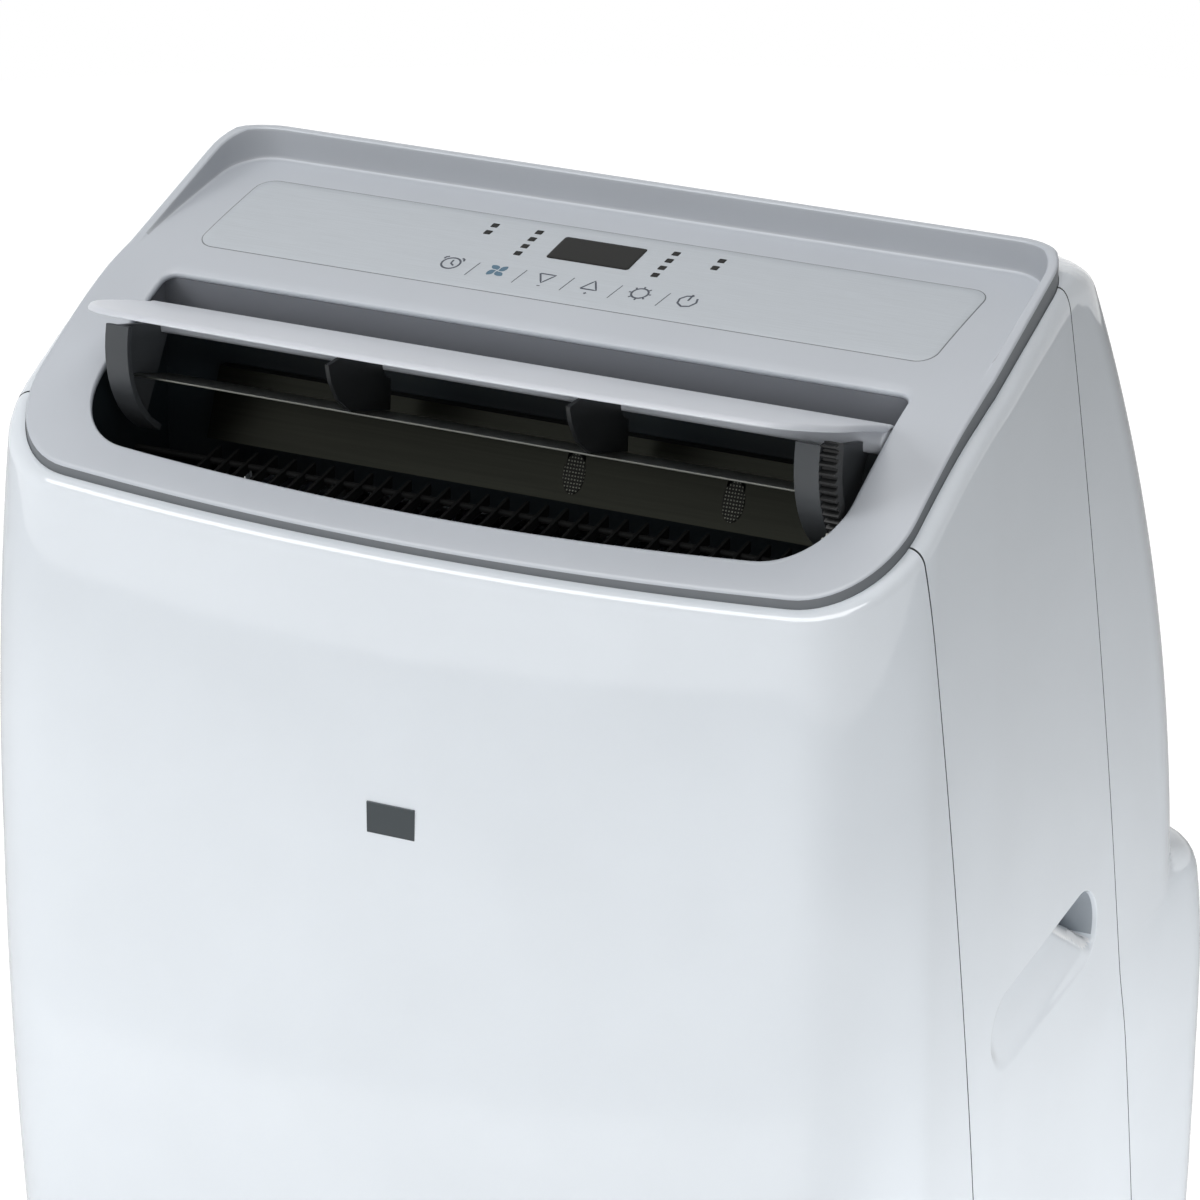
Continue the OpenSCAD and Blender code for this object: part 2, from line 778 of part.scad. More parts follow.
// The flap is drawn shut, in line with the deck, and then turned open
module opened() {
    translate([0, pivot_y, pivot_z]) rotate([-flap_swing, 0, 0])
        translate([0, -pivot_y, -pivot_z]) children();
}

flap_back_y = pivot_y - 6.5;
flap_hw = outlet_w / 2 - flap_gap;

module flap_plate() {
    color("silver") opened() {
        intersection() {
            upright(duct_floor_z, body_h, outlet_outline(flap_gap));
            deck_band(-flap_hw, flap_hw, 0, -flap_t, duct_front_y, flap_back_y);
        }
        // rolled back edge around the pivot line
        difference() {
            rod_x(-flap_hw, flap_hw, pivot_y, pivot_z, knuckle_r);
            rod_x(-flap_hw - cut, flap_hw + cut, pivot_y, pivot_z, knuckle_r - 2);
            block(-flap_hw - cut, flap_hw + cut, pivot_y - 20, pivot_y + 20, pivot_z - 20, pivot_z - 3);
        }
    }
}

// Sector in the YZ plane: from angle a0 to a1 in front of the pivot, measured upwards
module sector(x0, x1, r0, r1, a0, a1) {
    across(x0, x1, [for (p = concat(arc(0, 0, r1, 180 - a0, 180 - a1, 12),
        arc(0, 0, r0, 180 - a1, 180 - a0, 6))) [pivot_y + p[0], pivot_z + p[1]]]);
}

arm_low = -60;
arm_high = 19;

// End cheek: web, front band and the pivot pin; it lies on the open flap's underside
module flap_arm(pin_to) {
    inner = arm_out_x - arm_t;
    difference() {
        union() {
            sector(arm_out_x - 3, arm_out_x, knuckle_r + 0.3, arm_r - 2, arm_low, arm_high - 6);
            sector(inner, arm_out_x, arm_r - 3, arm_r, arm_low, arm_high - 5);
            rod_x(arm_out_x - 4, arm_out_x, pivot_y, pivot_z, knuckle_r - 2.3);
            sector(arm_out_x - 3, arm_out_x, 4, 14, arm_low, -30);
            rod_x(arm_out_x - 4, pin_to, pivot_y, pivot_z, pivot_r);
        }
        underside_cut();
    }
}

// Everything on or above the open flap's underside
module underside_cut() {
    opened() deck_band(-body_w, body_w, 60, -flap_t - touch / 3, behind(10), flap_back_y + 30);
}

module right_flap_arm() {
    color("dimgray") flap_arm(duct_hw + 6);
}

module left_flap_arm() {
    color("dimgray") mirror([1, 0, 0]) flap_arm(duct_hw + 6);
}

vane_front = [pivot_y - 34.5, pivot_z - 16];
vane_back = [pivot_y - 2, pivot_z - 24.8];
rib_x = 60;

// Two stiffening webs between the plate and the vane
module flap_ribs() {
    color("dimgray") difference() {
        for (s = [-1, 1]) across(s * rib_x - 1, s * rib_x + 1, [
            [pivot_y - 54, pivot_z + 12], [pivot_y - 52, pivot_z + 4], [pivot_y - 46, pivot_z - 6],
            [vane_front[0], vane_front[1] + 1], [vane_back[0], vane_back[1] + 1],
            [pivot_y - 1, pivot_z - 10], [pivot_y - 8, pivot_z + 8], [pivot_y - 20, pivot_z + 14]
        ]);
        underside_cut();
        rod_x(-rib_x - 5, rib_x + 5, pivot_y, pivot_z, knuckle_r + 0.3);
        across(-rib_x - 5, rib_x + 5, [
            [vane_front[0] - 20, vane_front[1]], vane_front, vane_back, [vane_back[0] + 20, vane_back[1]],
            [vane_back[0] + 20, vane_back[1] + 1.4], [vane_back[0], vane_back[1] + 1.4],
            [vane_front[0], vane_front[1] + 1.4], [vane_front[0] - 20, vane_front[1] + 1.4]
        ]);
    }
}

module flap_vane() {
    inner = arm_out_x - 3 - touch / 3;
    color("gray") difference() {
        across(-inner, inner, [
            vane_front, vane_back, [vane_back[0], vane_back[1] + 1],
            [vane_front[0] + 1, vane_front[1] + 0.9], [vane_front[0], vane_front[1] + 0.9]
        ]);
        sector(-body_w, body_w, arm_r - 3.2, arm_r + 5, -90, 30);
    }
}

// One tooth of a gear of n teeth, pointing along +X in the gear's own plane
module tooth(n, m) {
    r = m * n / 2;
    half = 90 / n - 0.4 * 57.3 / r / 4;
    polygon([
        [(r - 1.3 * m) * cos(half * 1.55), -(r - 1.3 * m) * sin(half * 1.55)],
        [r * cos(half), -r * sin(half)],
        [(r + 0.9 * m) * cos(half * 0.5), -(r + 0.9 * m) * sin(half * 0.5)],
        [(r + 0.9 * m) * cos(half * 0.5), (r + 0.9 * m) * sin(half * 0.5)],
        [r * cos(half), r * sin(half)],
        [(r - 1.3 * m) * cos(half * 1.55), (r - 1.3 * m) * sin(half * 1.55)]
    ]);
}

rack_x = arm_out_x + 0.5;
rack_pitch = 360 / rack_teeth;
rack_first = -pinion_angle - rack_pitch;
rack_last = -pinion_angle + flap_swing + 2 * rack_pitch;
rack_outer = gear_module * rack_teeth / 2;

// Toothed arc on the outside of the right arm
module flap_rack() {
    count = floor((rack_last - rack_first) / rack_pitch);
    color("dimgray") {
        difference() {
            sector(rack_x, rack_x + rack_w, rack_outer - 6, rack_outer - 1.25 * gear_module,
                rack_first - 2, rack_first + (count + 0.5) * rack_pitch);
            underside_cut();
        }
        translate([rack_x, pivot_y, pivot_z]) rotate([90, 0, 90]) linear_extrude(rack_w)
            for (i = [0:count]) rotate(180 - rack_first - i * rack_pitch) tooth(rack_teeth, gear_module);
    }
}

module flap_pinion() {
    color("white") {
        translate([rack_x, pinion_y, pinion_z]) rotate([90, 0, 90]) linear_extrude(rack_w)
            rotate(pinion_turn) union() {
                circle(r = pinion_r - 1.2 * gear_module);
                for (i = [0:pinion_teeth - 1]) rotate(i * 360 / pinion_teeth)
                    tooth(pinion_teeth, gear_module);
            }
        rod_x(rack_x + rack_w - 0.1, duct_hw + 4.5 + 0.5, pinion_y, pinion_z, pinion_shaft_r);
    }
}
// A gap of the pinion faces the rack's tooth on the line of centres
pinion_turn = pinion_angle + 180 / pinion_teeth;

module flap_motor() {
    x0 = duct_hw + 4.5 + 0.8;
    color("silver") {
        rod_x(x0, x0 + stepper_l, pinion_y, pinion_z, stepper_r);
        for (s = [-1, 1]) block(x0, x0 + 1.5, pinion_y + s * (stepper_r + 2) - 3.5,
            pinion_y + s * (stepper_r + 2) + 3.5, pinion_z - 3.5, pinion_z + 3.5);
    }
}

// ---------------------------------------------------------------- blowers

evap_x = 0;
evap_z = tray_z + 114;
evap_y0 = behind(48);
evap_l = evap_wheel_l + 12;
evap_scroll_r = evap_wheel_r + 8;
cond_x = 62;
cond_z = base_z + 108;
cond_y0 = behind(196);
cond_l = cond_wheel_l + 12;

// Spiral that opens by grow over a turn, from angle a0 on, as points
function spiral(cx, cz, r, grow, a0, a1, n) =
    [for (i = [0:n]) let (f = i / n, a = a0 + (a1 - a0) * f, q = r + grow * f)
        [cx + q * cos(a), cz + q * sin(a)]];

evap_out_z = duct_floor_z - 6 - touch;
evap_flare_hw = 150;

function evap_profile(t) = concat(
    [[evap_x - evap_scroll_r - 2 + t, evap_z + 40]],
    spiral(evap_x, evap_z, evap_scroll_r - t, 22, 180, 360, 18),
    [[evap_x + evap_scroll_r + 22 - t, evap_z + 40], [evap_flare_hw - t, evap_out_z + (t > 0 ? cut : 0)],
     [-evap_flare_hw + t, evap_out_z + (t > 0 ? cut : 0)]]
);

module evaporator_scroll() {
    y1 = evap_y0 + evap_l;
    color("whitesmoke") difference() {
        along_y(evap_y0, y1) polygon(evap_profile(0));
        along_y(evap_y0 + 2, y1 - 2) polygon(evap_profile(2));
        rod_y(y1 - 4, y1 + cut, evap_x, evap_z, evap_wheel_r - 14);
        rod_y(evap_y0 - cut, evap_y0 + 4, evap_x, evap_z, shaft_r + 1.5);
    }
}

// Centrifugal wheel: back plate, ring of blades, front ring and hub
module blower_wheel(r, l, shaft_l) {
    linear_extrude(2) difference() {
        circle(r = r);
        circle(r = shaft_r);
    }
    linear_extrude(l * 0.5) difference() {
        circle(r = 12);
        circle(r = shaft_r);
    }
    // the motor's shaft, pressed into the hub
    translate([0, 0, -shaft_l]) cylinder(r = shaft_r, h = shaft_l + l * 0.5 + 4);
    translate([0, 0, l - 3]) linear_extrude(3) difference() {
        circle(r = r);
        circle(r = r - 12);
    }
    for (i = [0:blade_count - 1]) rotate(i * 360 / blade_count)
        translate([r - 11, -0.75, 1]) rotate(20) cube([10, 1.5, l - 2.5]);
}

module evaporator_wheel() {
    color("dimgray") translate([evap_x, evap_y0 + 6, evap_z]) rotate([-90, 0, 0])
        blower_wheel(evap_wheel_r, evap_wheel_l, evap_motor_l);
}

// Motor can with a flange against the scroll, and the bore that its shaft turns in
module blower_motor(can_r, can_l) {
    difference() {
        union() {
            cylinder(r = can_r, h = can_l);
            translate([0, 0, can_l - 2]) cylinder(r = can_r + 6, h = 2);
        }
        translate([0, 0, 4]) cylinder(r = shaft_r + shaft_gap, h = can_l);
    }
}

evap_motor_l = 26;

module evaporator_motor() {
    color("lightgray") translate([evap_x, evap_y0 - evap_motor_l, evap_z]) rotate([-90, 0, 0])
        blower_motor(38, evap_motor_l);
}

cond_scroll_r = cond_wheel_r + 8;
cond_top_z = exhaust_z - 42;

function cond_profile(t) = concat(
    spiral(cond_x, cond_z, cond_scroll_r - t, 16, 90, 360, 24),
    [[cond_x + cond_scroll_r + 16 - t, cond_top_z + (t > 0 ? cut : 0)],
     [cond_x + 8 + t, cond_top_z + (t > 0 ? cut : 0)], [cond_x + 8 + t, cond_z + cond_scroll_r - 4]]
);

module condenser_scroll() {
    y1 = cond_y0 + cond_l;
    color("whitesmoke") scroll_case(y1);
}

module scroll_case(y1) {
    difference() {
        along_y(cond_y0, y1) polygon(cond_profile(0));
        along_y(cond_y0 + 2, y1 - 2) polygon(cond_profile(2));
        rod_y(y1 - 4, y1 + cut, cond_x, cond_z, cond_wheel_r - 14);
        rod_y(cond_y0 - cut, cond_y0 + 4, cond_x, cond_z, shaft_r + 1.5);
    }
    // two feet in the base pan
    for (x = [cond_x - 46, cond_x + 38]) block(x, x + 8, cond_y0 + 4, y1 - 4, base_z + pan_t + touch,
        cond_z - cond_scroll_r + 6);
}

module condenser_wheel() {
    color("dimgray") translate([cond_x, cond_y0 + 6, cond_z]) rotate([-90, 0, 0])
        blower_wheel(cond_wheel_r, cond_wheel_l, cond_motor_l);
}

cond_motor_l = 52;

module condenser_motor() {
    color("lightgray") translate([cond_x, cond_y0 - cond_motor_l, cond_z]) rotate([-90, 0, 0])
        blower_motor(40, cond_motor_l);
}

elbow_z0 = cond_top_z + touch;
elbow_z1 = exhaust_z + exhaust_r + 4;
elbow_x0 = exhaust_x - exhaust_r - 4;
elbow_x1 = cond_x + cond_scroll_r + 16;
elbow_y1 = rear_y - 30;

// Box that gathers the hot air above the scroll and hands it to the round collar
module exhaust_elbow() {
    color("whitesmoke") difference() {
        union() {
            block(elbow_x0, elbow_x1, cond_y0, cond_y0 + cond_l, elbow_z0, tray_z - touch);
            rod_y(cond_y0 + cond_l - 3, elbow_y1, exhaust_x, exhaust_z, exhaust_r + 3);
        }
        block(elbow_x0 + 2, elbow_x1 - 2, cond_y0 + 2, cond_y0 + cond_l - 2, elbow_z0 + 2,
            tray_z - touch - 2);
        block(cond_x + 10, elbow_x1 - 2, cond_y0 + 2, cond_y0 + cond_l - 2, elbow_z0 - cut,
            elbow_z0 + 3);
        rod_y(cond_y0 + cond_l - 3, elbow_y1 + cut, exhaust_x, exhaust_z, exhaust_r);
    }
}

module exhaust_collar() {
    color("gray") difference() {
        union() {
            rod_y(rear_y - exhaust_l, rear_y, exhaust_x, exhaust_z, exhaust_r + wall);
            rod_y(rear_y - exhaust_l, rear_y - wall - touch, exhaust_x, exhaust_z, exhaust_r + wall + 5);
        }
        rod_y(rear_y - exhaust_l - cut, rear_y + cut, exhaust_x, exhaust_z, exhaust_r);
    }
}

// ---------------------------------------------------------------- cooling circuit

compressor_x = -112;
compressor_y = behind(106);
foot_angles = [60, 180, 300];
foot_reach = compressor_r + 8;
foot_base = 12;
foot_h = 14;
bolt_r = 3;
compressor_z0 = base_z + foot_base + foot_h;

module compressor() {
    color("black") translate([compressor_x, compressor_y, compressor_z0]) difference() {
        union() {
            translate([0, 0, 18]) cylinder(r = compressor_r, h = compressor_h - 36);
            translate([0, 0, compressor_h - 18 - 0.1]) cylinder(r1 = compressor_r, r2 = compressor_r - 20, h = 18);
            translate([0, 0, 3]) cylinder(r1 = compressor_r - 14, r2 = compressor_r, h = 15.1);
            cylinder(r = 30, h = 4);
            for (a = foot_angles) rotate(a) {
                translate([10, -12, 0]) cube([foot_reach - 10, 24, 3]);
                translate([foot_reach, 0, 0]) cylinder(r = 12, h = 3);
            }
            translate([0, 0, compressor_h - 3]) cylinder(r = 16, h = 12);
        }
        for (a = foot_angles) rotate(a) translate([foot_reach, 0, -cut])
            cylinder(r = bolt_r + 0.4, h = 8);
        translate([0, 0, 22]) cylinder(r = compressor_r - 3.5, h = compressor_h - 44);
    }
}

module compressor_feet() {
    color("black") for (a = foot_angles) translate([compressor_x, compressor_y, base_z + foot_base])
        rotate(a) translate([foot_reach, 0, 0]) difference() {
            cylinder(r = 9, h = foot_h);
            translate([0, 0, -cut]) cylinder(r = bolt_r + 0.1, h = foot_h + 2 * cut);
        }
}

module compressor_bolts() {
    color("silver") for (a = foot_angles) translate([compressor_x, compressor_y, base_z + 4])
        rotate(a) translate([foot_reach, 0, 0]) {
            cylinder(r = bolt_r, h = foot_base + foot_h + 2);
            translate([0, 0, foot_base + foot_h - 4 + 3.1]) cylinder(r = 5.5, h = 4, $fn = 6);
        }
}

accumulator_x = compressor_x + compressor_r + 25;
accumulator_z = compressor_z0 + 40;

module accumulator() {
    color("black") {
        translate([accumulator_x, compressor_y, accumulator_z]) difference() {
            cylinder(r = 19, h = 120);
            translate([0, 0, 3]) cylinder(r = 16.5, h = 114);
        }
        block(compressor_x + compressor_r + 0.2, accumulator_x - 18.5, compressor_y - 8,
            compressor_y + 8, accumulator_z + 50, accumulator_z + 70);
    }
}

// Quarter bend of pipe from +Z to +X, in the XZ plane
module bend(r) {
    rotate([90, 0, 0]) rotate_extrude(angle = 90) translate([r, 0]) circle(r = pipe_r);
}

// Discharge and suction lines, as straight runs joined by quarter bends
module refrigerant_pipes() {
    top = compressor_z0 + compressor_h + 9;
    rise = tray_z - 22 - top;
    color("chocolate") {
        translate([compressor_x, compressor_y, top + touch / 3]) {
            cylinder(r = pipe_r, h = rise);
            translate([12, 0, rise]) mirror([1, 0, 0]) bend(12);
            translate([12, 0, rise + 12]) rotate([0, 90, 0]) cylinder(r = pipe_r, h = 60);
        }
        translate([accumulator_x, compressor_y, accumulator_z + 120 + touch / 3])
            cylinder(r = pipe_r, h = 40);
    }
}

module coil(w, h, d, tubes) {
    for (x = span(-w / 2, w / 2, 16)) block(x - 0.6, x + 0.6, 0, d, 0, h);
    for (i = [0:tubes - 1]) let (z = h * (i + 0.5) / tubes)
        rod_x(-w / 2 - 8, w / 2 + 8, d / 2, z, pipe_r);
}

cond_coil_y = cond_y0 + cond_l + 8;
cond_coil_h = 158;

module condenser_coil() {
    color("lightgray") translate([0, cond_coil_y, base_z + pan_t + touch])
        coil(310, cond_coil_h, coil_d, 6);
}

evap_coil_tilt = 14;

module evaporator_coil() {
    color("lightgray") translate([0, frame_y, tray_z + tray_floor + touch])
        rotate([evap_coil_tilt, 0, 0]) coil(300, 215, coil_d, 8);
}

// Tray between the two compartments, which catches the evaporator's water
module partition_tray() {
    color("whitesmoke") difference() {
        block(-168, 168, behind(40), behind(300), tray_z, tray_z + tray_t);
        block(-165, 165, behind(43), behind(297), tray_z + tray_floor, tray_z + tray_t + cut);
    }
}

box_z = tray_z + tray_floor + touch;

module control_box() {
    color("gray") difference() {
        block(-162, -100, behind(130), behind(190), box_z, box_z + 150);
        block(-160, -102, behind(132), behind(190) + cut, box_z + 2, box_z + 148);
    }
}

module run_capacitor() {
    color("silver") translate([-131, behind(160), box_z + 2 + touch / 3])
        cylinder(r = 18, h = 80);
}

// ---------------------------------------------------------------- filters, drains, inlet

frame_rim = 8;
frame_d = 5;
filter_gap = 0.5;
mesh_t = 1.1;

// Sheet that follows the rear of the cabinet from one depth below it to another
module rear_sheet(x0, x1, z0, z1, d0, d1) {
    zs = span(z0, z1, max(1, floor((z1 - z0) / 12)));
    across(x0, x1, concat([for (z = zs) [rear_at(z) - d0, z]],
        [for (i = [len(zs) - 1:-1:0]) [rear_at(zs[i]) - d1, zs[i]]]));
}

// Filter frame with slats, in a window from z0 to z1
module upper_filter_frame() {
    w = intake_w / 2 - filter_gap;
    z0 = upper_intake_z0 + filter_gap;
    z1 = upper_intake_z1 - filter_gap;
    inner = z1 - z0 - 2 * frame_rim;
    slats = 13;
    color("whitesmoke") {
        for (z = [z0, z1 - frame_rim]) rear_sheet(-w, w, z, z + frame_rim, filter_gap, frame_d);
        for (x = [-w, w - frame_rim]) rear_sheet(x, x + frame_rim, z0, z1, filter_gap, frame_d);
        for (x = [-w / 3, w / 3]) rear_sheet(x - 1.5, x + 1.5, z0 + 1, z1 - 1, filter_gap + 2, frame_d);
        for (i = [1:slats]) let (z = z0 + frame_rim + inner * i / (slats + 1))
            rear_sheet(-w + 1, w - 1, z - 1, z + 1, filter_gap, frame_d);
    }
}

module upper_filter_mesh() {
    w = intake_w / 2 - filter_gap - 2;
    color("darkgray") rear_sheet(-w, w, upper_intake_z0 + 3, upper_intake_z1 - 3, frame_d + 0.1,
        frame_d + 0.1 + mesh_t);
}

module lower_filter_frame() {
    w = intake_w / 2 - filter_gap;
    z0 = lower_intake_z0 + filter_gap;
    z1 = lower_intake_z1 - filter_gap;
    inner = z1 - z0 - 2 * frame_rim;
    slats = 9;
    y0 = rear_y - frame_d;
    y1 = rear_y - filter_gap;
    color("whitesmoke") {
        for (z = [z0, z1 - frame_rim]) block(-w, w, y0, y1, z, z + frame_rim);
        for (x = [-w, w - frame_rim]) block(x, x + frame_rim, y0, y1, z0, z1);
        for (x = [-w / 3, w / 3]) block(x - 1.5, x + 1.5, y0, y1 - 2, z0 + 1, z1 - 1);
        for (i = [1:slats]) let (z = z0 + frame_rim + inner * i / (slats + 1))
            block(-w + 1, w - 1, y0, y1, z - 1, z + 1);
    }
}

module lower_filter_mesh() {
    w = intake_w / 2 - filter_gap - 2;
    y1 = rear_y - frame_d - 0.1;
    color("darkgray") block(-w, w, y1 - mesh_t, y1, lower_intake_z0 + 3, lower_intake_z1 - 3);
}

drain_x = 150;
drain_r = 7;
drain_flange_r = drain_r + 5;
drain_zs = [base_z + 28, base_z + 300];
cord_x = 110;
cord_z = base_z + 240;
cord_bush_r = 9;

// Short spouts that the two plugs close
module drain_ports() {
    color("gray") for (z = drain_zs) difference() {
        union() {
            rod_y(rear_y - 26, rear_y + 0, drain_x, z, drain_r + 2);
            rod_y(rear_y - wall - 3, rear_y - wall - 0.2, drain_x, z, drain_flange_r);
        }
        rod_y(rear_y - 24, rear_y + cut, drain_x, z, drain_r);
    }
}

module drain_plug(z) {
    rod_y(rear_y - 14, rear_y - 1.5, drain_x, z, drain_r - 0.05);
    difference() {
        rod_y(rear_y - 1.6, rear_y - 0.1, drain_x, z, drain_r - 0.5);
        rod_y(rear_y - 1, rear_y + cut, drain_x, z, drain_r - 3);
    }
}

module lower_drain_plug() {
    color("black") drain_plug(drain_zs[0]);
}

module upper_drain_plug() {
    color("black") drain_plug(drain_zs[1]);
}

module cord_inlet() {
    color("black") difference() {
        union() {
            rod_y(rear_y - 14, rear_y, cord_x, cord_z, cord_bush_r);
            rod_y(rear_y - 14, rear_y - wall - 0.2, cord_x, cord_z, cord_bush_r + 3);
        }
        rod_y(rear_y - 14 - cut, rear_y + cut, cord_x, cord_z, 4);
    }
}

// ---------------------------------------------------------------- casters

fork_w = wheel_w + 6;
axle_r = 2.5;
axle_z = wheel_r;

module caster_fork(p) {
    top = base_z - 1;
    color("black") translate([p[0], p[1], 0]) {
        translate([0, 0, top - 4]) cylinder(r = 15, h = 4);
        translate([0, 0, top - 1]) cylinder(r = stem_r, h = 14);
        for (s = [-1, 1]) difference() {
            union() {
                block(s > 0 ? wheel_w / 2 + 0.6 : -fork_w / 2, s > 0 ? fork_w / 2 : -wheel_w / 2 - 0.6,
                    -6, caster_trail + 8, axle_z, top - 2);
                rod_x(s > 0 ? wheel_w / 2 + 0.6 : -fork_w / 2, s > 0 ? fork_w / 2 : -wheel_w / 2 - 0.6,
                    caster_trail, axle_z, 8);
            }
            translate([0, 0, 0]) block(-fork_w, fork_w, -7, -4, 0, axle_z + 16);
        }
        rod_x(-fork_w / 2 + 0.1, fork_w / 2 - 0.1, caster_trail, axle_z, axle_r);
    }
}

module caster_wheel(p) {
    color("dimgray") translate([p[0], p[1] + caster_trail, axle_z]) rotate([0, 90, 0])
        rotate_extrude() polygon([
            [axle_r + shaft_gap, -wheel_w / 2], [wheel_r - 2, -wheel_w / 2],
            [wheel_r, -wheel_w / 2 + 2], [wheel_r, wheel_w / 2 - 2],
            [wheel_r - 2, wheel_w / 2], [axle_r + shaft_gap, wheel_w / 2]
        ]);
}

module caster_fork_front_left() { caster_fork(caster_places[0]); }
module caster_fork_front_right() { caster_fork(caster_places[1]); }
module caster_fork_rear_left() { caster_fork(caster_places[2]); }
module caster_fork_rear_right() { caster_fork(caster_places[3]); }
module caster_wheel_front_left() { caster_wheel(caster_places[0]); }
module caster_wheel_front_right() { caster_wheel(caster_places[1]); }
module caster_wheel_rear_left() { caster_wheel(caster_places[2]); }
module caster_wheel_rear_right() { caster_wheel(caster_places[3]); }

base_pan();
chassis_frame();
front_panel();
left_side_panel();
right_side_panel();
rear_cover();
top_deck();
control_overlay();
display_window();
indicator_lenses();
control_board();
display_module();
badge_plate();
outlet_duct();
liner_plate();
mesh_patches();
outlet_guard();
flap_plate();
left_flap_arm();
right_flap_arm();
flap_ribs();
flap_vane();
flap_rack();
flap_pinion();
flap_motor();
evaporator_coil();
evaporator_scroll();
evaporator_wheel();
evaporator_motor();
partition_tray();
condenser_coil();
condenser_scroll();
condenser_wheel();
condenser_motor();
exhaust_elbow();
exhaust_collar();
compressor();
accumulator();
compressor_feet();
compressor_bolts();
refrigerant_pipes();
control_box();
run_capacitor();
upper_filter_frame();
upper_filter_mesh();
lower_filter_frame();
lower_filter_mesh();
upper_drain_plug();
lower_drain_plug();
drain_ports();
cord_inlet();
panel_screws();
caster_fork_front_left();
caster_fork_front_right();
caster_fork_rear_left();
caster_fork_rear_right();
caster_wheel_front_left();
caster_wheel_front_right();
caster_wheel_rear_left();
caster_wheel_rear_right();
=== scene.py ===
"""Looks of a portable air conditioner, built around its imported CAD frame.

Lengths are in millimetres until a mesh is written, where MM turns them to metres. -Y is the
front, +X the right side and +Z up, as in the frame. A plan is seen from above, and a depth is
a distance behind the cabinet's foremost line.
"""

from __future__ import annotations

import json
import logging
import math
from contextlib import contextmanager
from dataclasses import dataclass, field, replace
from enum import Enum
from typing import Iterator, Sequence

import bmesh
import bpy
import numpy as np
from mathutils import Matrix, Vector

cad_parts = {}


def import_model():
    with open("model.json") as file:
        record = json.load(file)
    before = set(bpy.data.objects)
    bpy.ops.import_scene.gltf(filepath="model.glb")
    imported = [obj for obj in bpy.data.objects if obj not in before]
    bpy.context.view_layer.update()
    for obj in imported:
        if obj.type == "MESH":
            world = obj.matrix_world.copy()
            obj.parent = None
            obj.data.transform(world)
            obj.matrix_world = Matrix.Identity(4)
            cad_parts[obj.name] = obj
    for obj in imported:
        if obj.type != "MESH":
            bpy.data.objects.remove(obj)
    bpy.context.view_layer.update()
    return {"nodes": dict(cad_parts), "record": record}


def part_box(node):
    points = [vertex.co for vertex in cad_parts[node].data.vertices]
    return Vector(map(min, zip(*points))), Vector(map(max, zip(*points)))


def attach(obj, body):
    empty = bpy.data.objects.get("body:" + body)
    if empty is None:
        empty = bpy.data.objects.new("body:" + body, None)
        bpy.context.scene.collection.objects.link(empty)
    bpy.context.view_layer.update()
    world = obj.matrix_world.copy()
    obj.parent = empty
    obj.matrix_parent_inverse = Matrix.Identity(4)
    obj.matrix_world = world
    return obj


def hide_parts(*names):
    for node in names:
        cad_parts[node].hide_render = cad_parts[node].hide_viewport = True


MM = 0.001
LOG = logging.getLogger("air_conditioner")
Array = np.ndarray
Piece = bpy.types.Object
Socket = bpy.types.NodeSocket
Tree = bpy.types.NodeTree

MERGE_MM = 0.004  # points of a new mesh that are nearer than this are one
CAD_MERGE_MM = 0.002  # and those of a CAD node
SLIVER_M2 = 1e-13  # faces smaller than this are dropped
FLAT_DEGREES = 0.5  # CAD faces that meet at less than this become one
BLOTCH_MM = 70  # size of the slow unevenness of a large moulding
STREAK = 0.02  # how much brushing squeezes the pattern along its axis
WAVE_RATIO = 3.2  # a wave texture of scale S repeats about every 1 / (3.2 S)


# ---------------------------------------------------------------- finishes


def linear(hex_colour: str) -> tuple[float, float, float, float]:
    """Turns an sRGB hex colour into a linear RGBA colour.

    Args:
        hex_colour: A colour such as "#e8ebec".

    Returns:
        Red, green and blue as Blender's linear values, and an alpha of 1.
    """
    parts = [int(hex_colour[i : i + 2], 16) / 255 for i in (1, 3, 5)]
    lin = [c / 12.92 if c <= 0.04045 else ((c + 0.055) / 1.055) ** 2.4 for c in parts]
    return (lin[0], lin[1], lin[2], 1.0)


def add_node(tree: Tree, kind: str, settings: dict, links: dict) -> bpy.types.Node:
    """Adds one shader node with its settings and incoming links.

    Args:
        tree: The material's or world's node tree.
        kind: The node's type name.
        settings: Attribute names, input names or input numbers, each with its value.
        links: Input names or numbers, each with the output socket that feeds it.

    Returns:
        The new node.
    """
    node = tree.nodes.new(kind)
    for name, value in settings.items():
        if isinstance(name, int) or name in node.inputs:
            node.inputs[name].default_value = value
        else:
            setattr(node, name, value)
    for name, socket in links.items():
        tree.links.new(socket, node.inputs[name])
    return node


def clear_tree(owner: bpy.types.Material | bpy.types.World) -> Tree:
    """The empty node tree of a material or a world."""
    owner.use_nodes = True
    owner.node_tree.nodes.clear()
    return owner.node_tree


class Surface(Enum):
    """How a surface was made, which sets its pattern."""

    MOULDED = "moulded"
    BRUSHED = "brushed"
    WOVEN = "woven"
    POLISHED = "polished"
    CAST = "cast"


